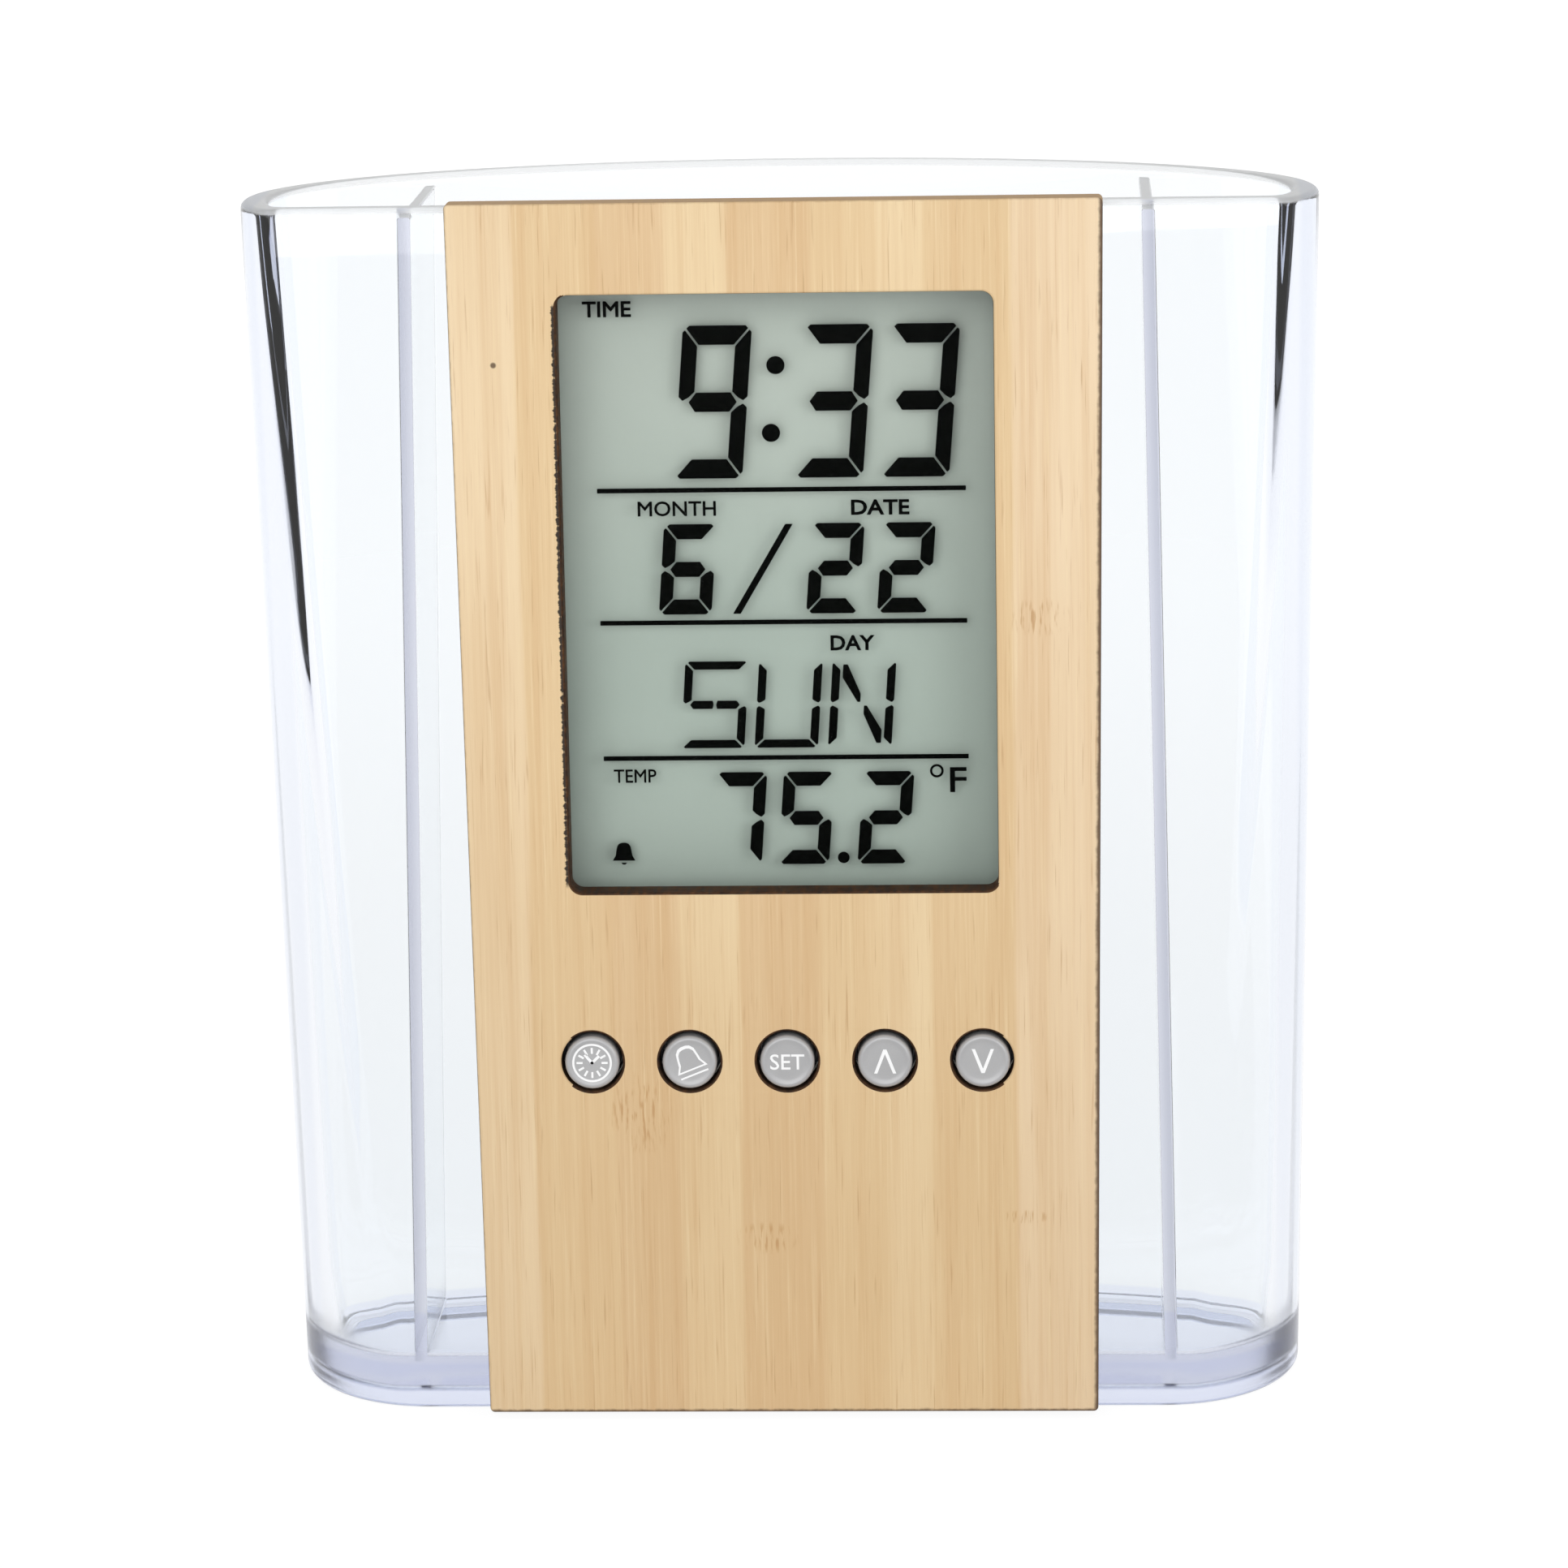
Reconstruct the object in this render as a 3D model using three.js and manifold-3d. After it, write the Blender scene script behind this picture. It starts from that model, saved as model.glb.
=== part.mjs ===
// Digital clock pen holder: a clear pen cup with a bamboo-faced clock set into its flat front wall.
// Millimetres, +Z up, +X to the right, +Y to the back. Y is counted from the bamboo's front face.

import * as THREE from "three";
import { mergeVertices } from "three/addons/utils/BufferGeometryUtils.js";
import Module from "manifold-3d";

const wasm = await Module();
wasm.setup();

// Bamboo face plate
const FASCIA_HEIGHT = 104;
const FASCIA_TOP_WIDTH = 53.9;
const FASCIA_FOOT_WIDTH = 52.1;
const FASCIA_THICKNESS = 2.5;
const FASCIA_CORNER_RADIUS = 0.4;
const FASCIA_EDGE = 0.25;
const FASCIA_LIFT = 0.6;
const ADHESIVE_THICKNESS = 0.2;
const ADHESIVE_INSET = 1.2;

// Display window
const WINDOW_WIDTH = 35.9;
const WINDOW_HEIGHT = 50.5;
const WINDOW_TOP_MARGIN = 7.6;
const WINDOW_RADIUS = 1;

// Keys
const KEY_NAMES = ["mode", "alarm", "set", "up", "down"];
const KEY_PITCH = 8.25;
const KEY_DROP = 14.7;
const KEY_DIAMETER = 4.6;
const KEY_HOLE_DIAMETER = 5.2;
const KEY_PROUD = 0.4;
const KEY_EDGE = 0.45;
const KEY_FLANGE_DIAMETER = 6.2;
const KEY_FLANGE_THICKNESS = 0.7;
const KEY_TRAVEL = 0.8;

// Clear cup
const RIM_SETBACK = 0.6;
const CUP_TOP_WIDTH = 90;
const CUP_FOOT_WIDTH = 87.4;
const CUP_TOP_DEPTH = 31.8;
const CUP_FOOT_DEPTH = 24.6;
const CUP_TOP_WIDEST = 7.9;
const CUP_FOOT_WIDEST = 14;
const CUP_FOOT_TURN = 12;
const CUP_CORNER = 1;
const CUP_WALL = 2.4;
const CUP_FRONT_WALL = 2.4;
const RIM_RADIUS = 0.7;
const FOOT_RADIUS = 0.7;
const FLOOR_TOP_Z = 4.1;
const FLOOR_FILLET = 0.8;
const FOOT_RECESS_DEPTH = 1.4;
const FOOT_RING_WIDTH = 2.8;

// Cup dividers, which spread towards the floor
const DIVIDER_TOP_X = 31.2;
const DIVIDER_FOOT_X = 32.9;
const DIVIDER_THICKNESS = 1;
const DIVIDER_DROP = 1;

// Clearances
const SEAT_GAP = 0.05;
const FIT_GAP = 0.3;
const SLIDE_GAP = 0.15;

// Clock frame behind the face plate
const FRAME_PLATE = 1.1;
const FRAME_LIP = 0.6;
const FRAME_SKIRT = 1.4;
const FRAME_WALL = 2.5;
const FLANGE_WIDTH = 1.7;
const FRAME_FOOT_Z = 6.8;
const FRAME_RADIUS = 2;
const FRAME_RIB = 1;

// Display layers
const GLASS_THICKNESS = 1;
const FILM_THICKNESS = 0.2;
const GLASS_MARGIN_X = 2.2;
const GLASS_MARGIN_TOP = 1.2;
const GLASS_LEDGE = 3.1;
const REAR_GLASS_MARGIN = 1.9;
const FILM_INSET = 0.7;
const STRIP_WIDTH = 2.2;

// Circuit board and switches
const BOARD_FRONT_Y = 8.4;
const BOARD_THICKNESS = 1;
const BOARD_ABOVE_LEDGE = 1.4;
const BOARD_BELOW_KEYS = 8.6;
const BOARD_SIDE_GAP = 1;
const BOARD_SCREW_INSET = 2.75;
const BOARD_SCREW_RISE = 6.4;
const SWITCH_WIDTH = 6;
const SWITCH_HEIGHT = 2.6;
const PLUNGER_DIAMETER = 2.6;
const PLUNGER_LENGTH = 2.1;
const BOSS_DIAMETER = 3.6;
const SCREW_SHANK_DIAMETER = 1.6;
const SCREW_HEAD_DIAMETER = 3.4;
const BOARD_SCREW_HEAD = 0.5;
const BOARD_SCREW_LENGTH = 3;
const CHIP_DIAMETER = 5;
const CHIP_HEIGHT = 1.5;
const CRYSTAL_DIAMETER = 2;
const CRYSTAL_LENGTH = 6;
const SENSOR_DIAMETER = 2.2;

// Rear case
const CASE_BACK_Y = 12;
const CASE_WALL = 1.4;
const CASE_BACK_WALL = 1.8;
const CASE_SCREW_INSET = 2.95;
const CASE_SCREW_RISE = 3.8;
const CASE_SCREW_LENGTH = 4.2;
const CASE_SCREW_HEAD = 1.1;
const CASE_BOSS_DIAMETER = 4.4;
const PRESS_RIB_INSET = 3;
const PRESS_RIB_RISE = 3;
const HOOK_REACH = 0.9;
const HOOK_LENGTH = 8;
const HOOK_DEPTH = 2.4;
const SOUND_HOLE_DIAMETER = 1.6;
const SOUND_RING_RADIUS = 4;

// Battery and its cover
const CELL_DIAMETER = 20;
const CELL_THICKNESS = 3.2;
const CELL_STEP = 1.2;
const POCKET_FLOOR = 0.6;
const POCKET_WALL = 2.6;
const CONTACT_THICKNESS = 0.2;
const CONTACT_WIDTH = 3;
const CONTACT_TAIL = 2.4;
const FLOOR_CONTACT_RISE = 6;
const SIDE_CONTACT_RISE = 3;
const COVER_TONGUE = 1;
const TONGUE_THICKNESS = 0.7;
const COVER_LAP = 0.7;
const GRIP_RIB_COUNT = 4;
const GRIP_RIB_DROP = 3;
const GRIP_RIB_PITCH = 1.8;
const GRIP_RIB_WIDTH = 12;
const GRIP_RIB_HEIGHT = 0.5;

// Alarm disc and leads
const BUZZER_DIAMETER = 18;
const BUZZER_THICKNESS = 0.35;
const CERAMIC_DIAMETER = 12;
const BUZZER_DROP = 1.4;
const LEAD_DIAMETER = 0.9;
const BATTERY_LEAD_END_X = 9;
const BATTERY_LEAD_BOW = 0.6;
const ALARM_LEAD_START_X = 3;
const ALARM_LEAD_1_END_X = -5;
const ALARM_LEAD_2_END_X = 2;
const ALARM_LEAD_LAP = 1.5;
const ALARM_LEAD_BOW = 0.3;

// Stations along Y, from the face plate to the back of the clock
const CUP_FRONT_Y = FASCIA_THICKNESS + ADHESIVE_THICKNESS + 2 * SEAT_GAP;
const CUP_INNER_FRONT_Y = CUP_FRONT_Y + CUP_FRONT_WALL;
const FRAME_PLATE_BACK_Y = CUP_FRONT_Y + FRAME_PLATE;
const FRAME_BACK_Y = CUP_INNER_FRONT_Y + SLIDE_GAP;
const CASE_FRONT_Y = FRAME_BACK_Y + 2 * SEAT_GAP;
const CASE_INNER_BACK_Y = CASE_BACK_Y - CASE_BACK_WALL;
const FRONT_FILM_Y = CUP_FRONT_Y + FRAME_LIP + SEAT_GAP;
const FRONT_GLASS_Y = FRONT_FILM_Y + FILM_THICKNESS + SEAT_GAP;
const REAR_GLASS_Y = FRONT_GLASS_Y + GLASS_THICKNESS + SEAT_GAP;
const REFLECTOR_Y = REAR_GLASS_Y + GLASS_THICKNESS + SEAT_GAP;
const POCKET_FRONT_Y = REFLECTOR_Y + FILM_THICKNESS + 2 * SEAT_GAP;
const POCKET_FLOOR_Y = POCKET_FRONT_Y + POCKET_FLOOR;
const CELL_FRONT_Y = POCKET_FLOOR_Y + CONTACT_THICKNESS + 2 * SEAT_GAP;
const KEY_FLANGE_Y = FRAME_PLATE_BACK_Y + 2 * SEAT_GAP;
const PLUNGER_FRONT_Y = KEY_FLANGE_Y + KEY_FLANGE_THICKNESS + SEAT_GAP;
const SWITCH_FRONT_Y = BOARD_FRONT_Y - SEAT_GAP - SWITCH_HEIGHT;

// Stations along Z and half widths
const CUP_HEIGHT = FASCIA_LIFT + FASCIA_HEIGHT - RIM_SETBACK;
const WINDOW_TOP_Z = FASCIA_LIFT + FASCIA_HEIGHT - WINDOW_TOP_MARGIN;
const WINDOW_FOOT_Z = WINDOW_TOP_Z - WINDOW_HEIGHT;
const WINDOW_CENTRE_Z = (WINDOW_TOP_Z + WINDOW_FOOT_Z) / 2;
const KEY_ROW_Z = WINDOW_FOOT_Z - KEY_DROP;
const GLASS_HALF_WIDTH = WINDOW_WIDTH / 2 + GLASS_MARGIN_X;
const GLASS_TOP_Z = WINDOW_TOP_Z + GLASS_MARGIN_TOP;
const REAR_GLASS_FOOT_Z = WINDOW_FOOT_Z - REAR_GLASS_MARGIN;
const GLASS_FOOT_Z = REAR_GLASS_FOOT_Z - GLASS_LEDGE;
const FRAME_HALF_WIDTH = GLASS_HALF_WIDTH + FIT_GAP + FRAME_WALL;
const FRAME_TOP_Z = GLASS_TOP_Z + FIT_GAP + FRAME_SKIRT;
const CASE_INNER_HALF_WIDTH = FRAME_HALF_WIDTH - CASE_WALL;
const CASE_INNER_TOP_Z = FRAME_TOP_Z - CASE_WALL;
const CASE_INNER_FOOT_Z = FRAME_FOOT_Z + CASE_WALL;
const BOARD_TOP_Z = REAR_GLASS_FOOT_Z + BOARD_ABOVE_LEDGE;
const BOARD_FOOT_Z = KEY_ROW_Z - BOARD_BELOW_KEYS;
const BOARD_HALF_WIDTH = CASE_INNER_HALF_WIDTH - BOARD_SIDE_GAP;
const BOARD_SCREW_X = BOARD_HALF_WIDTH - BOARD_SCREW_INSET;
const CASE_SCREW_X = CASE_INNER_HALF_WIDTH - CASE_SCREW_INSET;
const COMPONENT_ROW_Z = (KEY_ROW_Z + SWITCH_WIDTH / 2 + GLASS_FOOT_Z) / 2;
const CASE_SCREW_Z = FRAME_FOOT_Z + CASE_SCREW_RISE;
const POCKET_HALF = CELL_DIAMETER / 2 + CONTACT_THICKNESS + FIT_GAP;
const POCKET_TOP_Z = CASE_INNER_TOP_Z - POCKET_WALL;
const CELL_Z = POCKET_TOP_Z - POCKET_HALF;
const POCKET_FOOT_Z = CELL_Z - POCKET_HALF;
const POCKET_BLOCK_HALF_WIDTH = POCKET_HALF + POCKET_WALL;
const POCKET_BLOCK_FOOT_Z = POCKET_FOOT_Z - POCKET_WALL;
const COVER_HALF_WIDTH = POCKET_HALF + COVER_LAP;
const COVER_FOOT_Z = POCKET_FOOT_Z - COVER_LAP;
const COVER_FRONT_Y = CELL_FRONT_Y + CELL_THICKNESS + 2 * SEAT_GAP;
const BUZZER_Z = POCKET_BLOCK_FOOT_Z - BUZZER_DROP - BUZZER_DIAMETER / 2;
const BUZZER_BACK_Y = CASE_INNER_BACK_Y - SEAT_GAP;

function paint(color, roughness, metalness = 0, opacity = 1) {
  return new THREE.MeshStandardMaterial({ color, roughness, metalness, opacity, transparent: opacity < 1 });
}

const CLEAR_PLASTIC = paint("#e9eef7", 0.05, 0, 0.3);
const BAMBOO = paint("#e6cc9f", 0.6);
const ADHESIVE = paint("#f2f0ea", 0.5);
const BLACK_PLASTIC = paint("#26272a", 0.55);
const WHITE_PLASTIC = paint("#f1f1ee", 0.45);
const SILVER_PLASTIC = paint("#b9bbbb", 0.35, 0.4);
const GLASS = paint("#dfe8e2", 0.05, 0, 0.4);
const FILM = paint("#c9d2c8", 0.2, 0, 0.4);
const REFLECTOR = paint("#aab8ac", 0.5, 0.2);
const RUBBER = paint("#d9d4cb", 0.9);
const BOARD_GREEN = paint("#2f6b43", 0.5);
const RESIN = paint("#151515", 0.3);
const STEEL = paint("#b8babd", 0.3, 0.9);
const BRASS = paint("#c9a654", 0.35, 0.9);
const RED_INSULATION = paint("#b3221e", 0.5);
const BLACK_INSULATION = paint("#1b1b1c", 0.5);

// A closed geometry as a solid for cutting and joining.
function toSolid(geometry) {
  const bare = geometry.index ? geometry.toNonIndexed() : geometry.clone();
  bare.deleteAttribute("normal");
  bare.deleteAttribute("uv");
  const merged = mergeVertices(bare, 1e-4);
  const index = merged.index.array;
  const corners = [];
  for (let i = 0; i < index.length; i += 3) {
    const [a, b, c] = [index[i], index[i + 1], index[i + 2]];
    if (a !== b && b !== c && c !== a) corners.push(a, b, c);
  }
  const vertProperties = new Float32Array(merged.attributes.position.array);
  const triVerts = new Uint32Array(corners);
  return new wasm.Manifold(new wasm.Mesh({ numProp: 3, vertProperties, triVerts }));
}

function toGeometry(solid) {
  const mesh = solid.getMesh();
  const geometry = new THREE.BufferGeometry();
  geometry.setAttribute("position", new THREE.BufferAttribute(mesh.vertProperties.slice(), 3));
  geometry.setIndex(new THREE.BufferAttribute(mesh.triVerts.slice(), 1));
  geometry.computeVertexNormals();
  return geometry;
}

function join(first, ...others) {
  return others.reduce((body, other) => body.add(other), first);
}

function cut(body, ...tools) {
  return tools.reduce((rest, tool) => rest.subtract(tool), body);
}

function block(x0, x1, y0, y1, z0, z1) {
  const box = new THREE.BoxGeometry(x1 - x0, y1 - y0, z1 - z0);
  return toSolid(box.translate((x0 + x1) / 2, (y0 + y1) / 2, (z0 + z1) / 2));
}

// A cylinder whose axis runs along Y.
function rod(diameter, y0, y1, x, z, sides = 16) {
  const cylinder = new THREE.CylinderGeometry(diameter / 2, diameter / 2, y1 - y0, sides);
  return toSolid(cylinder.translate(x, (y0 + y1) / 2, z));
}

// A flat outline drawn in X and Z, thickened from y0 to y1.
function plate(outline, y0, y1, edge = 0, curveSegments = 3) {
  const geometry = new THREE.ExtrudeGeometry(outline, {
    depth: y1 - y0 - 2 * edge,
    curveSegments,
    bevelEnabled: edge > 0,
    bevelSize: edge,
    bevelThickness: edge,
    bevelOffset: -edge,
    bevelSegments: 1,
  });
  return toSolid(geometry.rotateX(Math.PI / 2).translate(0, y1 - edge, 0));
}

// A profile of radius against Y, turned about the Y axis.
function turned(profile, sides = 22) {
  const points = profile.map(([radius, y]) => new THREE.Vector2(radius, y));
  return toSolid(new THREE.LatheGeometry(points, sides));
}

// A round lead along a smooth path.
function lead(points, diameter) {
  const path = new THREE.CatmullRomCurve3(points.map((point) => new THREE.Vector3(...point)));
  const outline = new THREE.Shape().absarc(0, 0, diameter / 2, 0, 2 * Math.PI);
  return toSolid(new THREE.ExtrudeGeometry(outline, { steps: 8, curveSegments: 3, extrudePath: path }));
}

function roundedPath(path, x0, x1, z0, z1, radius) {
  path.moveTo(x0 + radius, z0);
  path.lineTo(x1 - radius, z0);
  path.absarc(x1 - radius, z0 + radius, radius, -Math.PI / 2, 0);
  path.lineTo(x1, z1 - radius);
  path.absarc(x1 - radius, z1 - radius, radius, 0, Math.PI / 2);
  path.lineTo(x0 + radius, z1);
  path.absarc(x0 + radius, z1 - radius, radius, Math.PI / 2, Math.PI);
  path.lineTo(x0, z0 + radius);
  path.absarc(x0 + radius, z0 + radius, radius, Math.PI, Math.PI * 1.5);
  return path;
}

function rounded(x0, x1, z0, z1, radius) {
  return roundedPath(new THREE.Shape(), x0, x1, z0, z1, radius);
}

function circleHole(x, z, diameter) {
  return new THREE.Path().absarc(x, z, diameter / 2, 0, 2 * Math.PI, true);
}

// A skin over rings of equal point counts, closed by a fan at each end.
function loft(rings) {
  const count = rings[0].length;
  const positions = [];
  const index = [];
  for (const ring of rings) {
    for (const [x, y, z] of ring) positions.push(x, y, z);
  }
  for (let r = 0; r + 1 < rings.length; r += 1) {
    for (let i = 0; i < count; i += 1) {
      const next = (i + 1) % count;
      const [a, b] = [r * count + i, r * count + next];
      index.push(a, b, b + count, a, b + count, a + count);
    }
  }
  const last = (rings.length - 1) * count;
  for (let i = 1; i + 1 < count; i += 1) {
    index.push(0, i + 1, i);
    index.push(last, last + i, last + i + 1);
  }
  const geometry = new THREE.BufferGeometry();
  geometry.setAttribute("position", new THREE.Float32BufferAttribute(positions, 3));
  geometry.setIndex(index);
  return toSolid(geometry);
}

// Outline of the cup at one height: flat front, two rounded front corners, elliptical back.
const TURN_STEPS = 5;
const BACK_STEPS = 32;

function cupBackY(z) {
  const depth = THREE.MathUtils.lerp(CUP_FOOT_DEPTH, CUP_TOP_DEPTH, z / CUP_HEIGHT);
  return CUP_FRONT_Y + depth;
}

// The cup's outline at one height: flat front, sides that curve out to the widest line, elliptical back.
function cupRing(z, inset, frontInset) {
  const { lerp } = THREE.MathUtils;
  const share = Math.min(Math.max(z / CUP_HEIGHT, 0), 1);
  const halfWidth = lerp(CUP_FOOT_WIDTH, CUP_TOP_WIDTH, share) / 2 - inset;
  const frontY = CUP_FRONT_Y + frontInset;
  const widestY = CUP_FRONT_Y + lerp(CUP_FOOT_WIDEST, CUP_TOP_WIDEST, share);
  const backReach = cupBackY(share * CUP_HEIGHT) - inset - widestY;
  const turnX = lerp(CUP_FOOT_TURN, CUP_TOP_WIDTH / 2, share) - inset;
  const turnY = lerp(CUP_FOOT_WIDEST, CUP_TOP_DEPTH - CUP_TOP_WIDEST, share) - frontInset;
  const turn = (angle) =>
    new THREE.Vector3(halfWidth - turnX + turnX * Math.sin(angle), widestY - turnY * Math.cos(angle), z);

  const start = Math.acos(Math.min((widestY - frontY) / turnY, 1));
  const pace = Math.hypot(turnX * Math.cos(start), turnY * Math.sin(start));
  const first = start + CUP_CORNER / pace;
  const corner = turn(start);
  const before = new THREE.Vector3(corner.x - CUP_CORNER, frontY, z);
  const rounding = new THREE.QuadraticBezierCurve3(before, corner, turn(first));
  const right = [before, rounding.getPoint(0.5)];
  for (let i = 0; i < TURN_STEPS; i += 1) {
    right.push(turn(lerp(first, Math.PI / 2, i / TURN_STEPS)));
  }
  const back = [];
  for (let i = 0; i <= BACK_STEPS; i += 1) {
    const angle = (i / BACK_STEPS) * Math.PI;
    back.push(new THREE.Vector3(halfWidth * Math.cos(angle), widestY + backReach * Math.sin(angle), z));
  }
  const left = right.map((point) => new THREE.Vector3(-point.x, point.y, z)).reverse();
  return [...right, ...back, ...left].map((point) => point.toArray());
}

// Rings of a rounded edge: each is a height above the edge's start and an inset, from flush to full radius.
function edgeSteps(radius) {
  return [0, Math.PI / 4, Math.PI / 2].map((angle) => ({
    rise: radius * Math.sin(angle),
    inset: radius * (1 - Math.cos(angle)),
  }));
}

function clearCup() {
  const bodyShares = [0.25, 0.5, 0.75];
  const footRings = edgeSteps(FOOT_RADIUS)
    .map(({ rise, inset }) => cupRing(FOOT_RADIUS - rise, inset, inset))
    .reverse();
  const rimRings = edgeSteps(RIM_RADIUS).map(({ rise, inset }) =>
    cupRing(CUP_HEIGHT - RIM_RADIUS + rise, inset, inset)
  );
  const sideRings = bodyShares.map((share) => cupRing(share * CUP_HEIGHT, 0, 0));
  const outside = loft([...footRings, ...sideRings, ...rimRings]);

  const floorRings = edgeSteps(FLOOR_FILLET)
    .map(({ rise, inset }) =>
      cupRing(FLOOR_TOP_Z + FLOOR_FILLET - rise, CUP_WALL + inset, CUP_FRONT_WALL + inset)
    )
    .reverse();
  const innerRings = bodyShares.map((share) => cupRing(share * CUP_HEIGHT, CUP_WALL, CUP_FRONT_WALL));
  const mouthRings = edgeSteps(RIM_RADIUS).map(({ rise, inset }) =>
    cupRing(CUP_HEIGHT - RIM_RADIUS + rise, CUP_WALL - inset, CUP_FRONT_WALL - inset)
  );
  const aboveRim = cupRing(CUP_HEIGHT + 2, CUP_WALL - RIM_RADIUS, CUP_FRONT_WALL - RIM_RADIUS);
  const hollow = loft([...floorRings, ...innerRings, ...mouthRings, aboveRim]);

  const dividerTopZ = CUP_HEIGHT - DIVIDER_DROP;
  const dividers = [-1, 1].map((side) => {
    const outline = new THREE.Shape();
    outline.moveTo(side * DIVIDER_FOOT_X, 0);
    outline.lineTo(side * DIVIDER_TOP_X, dividerTopZ);
    outline.lineTo(side * (DIVIDER_TOP_X - DIVIDER_THICKNESS), dividerTopZ);
    outline.lineTo(side * (DIVIDER_FOOT_X - DIVIDER_THICKNESS), 0);
    return plate(outline, 0, CUP_FRONT_Y + CUP_TOP_DEPTH);
  });
  const compartments = cut(hollow, ...dividers);

  const recessInset = FOOT_RING_WIDTH;
  const recess = loft([-1, FOOT_RECESS_DEPTH].map((z) => cupRing(z, recessInset, recessInset)));

  const gapX = FRAME_HALF_WIDTH + FIT_GAP;
  const opening = rounded(-gapX, gapX, FRAME_FOOT_Z - FIT_GAP, FRAME_TOP_Z + FIT_GAP, FRAME_RADIUS);
  const flangeX = FRAME_HALF_WIDTH + FLANGE_WIDTH + FIT_GAP;
  const rebate = rounded(
    -flangeX,
    flangeX,
    FRAME_FOOT_Z - FLANGE_WIDTH - FIT_GAP,
    FRAME_TOP_Z + FLANGE_WIDTH + FIT_GAP,
    FRAME_RADIUS
  );
  return cut(
    outside,
    compartments,
    recess,
    plate(opening, 0, CUP_INNER_FRONT_Y + 1),
    plate(rebate, 0, FRAME_PLATE_BACK_Y + 2 * SEAT_GAP)
  );
}

function keyX(i) {
  return (i - (KEY_NAMES.length - 1) / 2) * KEY_PITCH;
}

function fasciaOutline(inset) {
  const topHalf = FASCIA_TOP_WIDTH / 2 - inset;
  const footHalf = FASCIA_FOOT_WIDTH / 2 - inset;
  const topZ = FASCIA_LIFT + FASCIA_HEIGHT - inset;
  const footZ = FASCIA_LIFT + inset;
  const r = FASCIA_CORNER_RADIUS;
  const outline = new THREE.Shape();
  outline.moveTo(-footHalf + r, footZ);
  outline.lineTo(footHalf - r, footZ);
  outline.quadraticCurveTo(footHalf, footZ, footHalf, footZ + r);
  outline.lineTo(topHalf, topZ - r);
  outline.quadraticCurveTo(topHalf, topZ, topHalf - r, topZ);
  outline.lineTo(-topHalf + r, topZ);
  outline.quadraticCurveTo(-topHalf, topZ, -topHalf, topZ - r);
  outline.lineTo(-footHalf, footZ + r);
  outline.quadraticCurveTo(-footHalf, footZ, -footHalf + r, footZ);
  return outline;
}

// The face plate, the sheet behind it and the frame share the window and the row of key holes.
function addFaceHoles(outline, windowGrow, holeDiameter) {
  const halfWidth = WINDOW_WIDTH / 2 + windowGrow;
  const footZ = WINDOW_FOOT_Z - windowGrow;
  const topZ = WINDOW_TOP_Z + windowGrow;
  outline.holes.push(roundedPath(new THREE.Path(), -halfWidth, halfWidth, footZ, topZ, WINDOW_RADIUS));
  for (let i = 0; i < KEY_NAMES.length; i += 1) {
    outline.holes.push(circleHole(keyX(i), KEY_ROW_Z, holeDiameter));
  }
  return outline;
}

function fascia() {
  const outline = addFaceHoles(fasciaOutline(0), 0, KEY_HOLE_DIAMETER);
  return plate(outline, 0, FASCIA_THICKNESS, FASCIA_EDGE, 7);
}

function adhesiveSheet() {
  const outline = addFaceHoles(fasciaOutline(ADHESIVE_INSET), FIT_GAP, KEY_HOLE_DIAMETER + 2 * FIT_GAP);
  return plate(outline, FASCIA_THICKNESS + SEAT_GAP, FASCIA_THICKNESS + SEAT_GAP + ADHESIVE_THICKNESS, 0, 3);
}

const BOARD_SCREW_PLACES = [
  [-BOARD_SCREW_X, KEY_ROW_Z - BOARD_SCREW_RISE],
  [BOARD_SCREW_X, KEY_ROW_Z - BOARD_SCREW_RISE],
  [-BOARD_SCREW_X, KEY_ROW_Z + BOARD_SCREW_RISE],
  [BOARD_SCREW_X, KEY_ROW_Z + BOARD_SCREW_RISE],
];
const CASE_SCREW_PLACES = [
  [-CASE_SCREW_X, CASE_SCREW_Z],
  [CASE_SCREW_X, CASE_SCREW_Z],
];
const CASE_BOSS_SPLIT_Y = CASE_FRONT_Y + 2;
const SCREW_HOLE_DIAMETER = SCREW_SHANK_DIAMETER + 2 * SLIDE_GAP;

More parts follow.
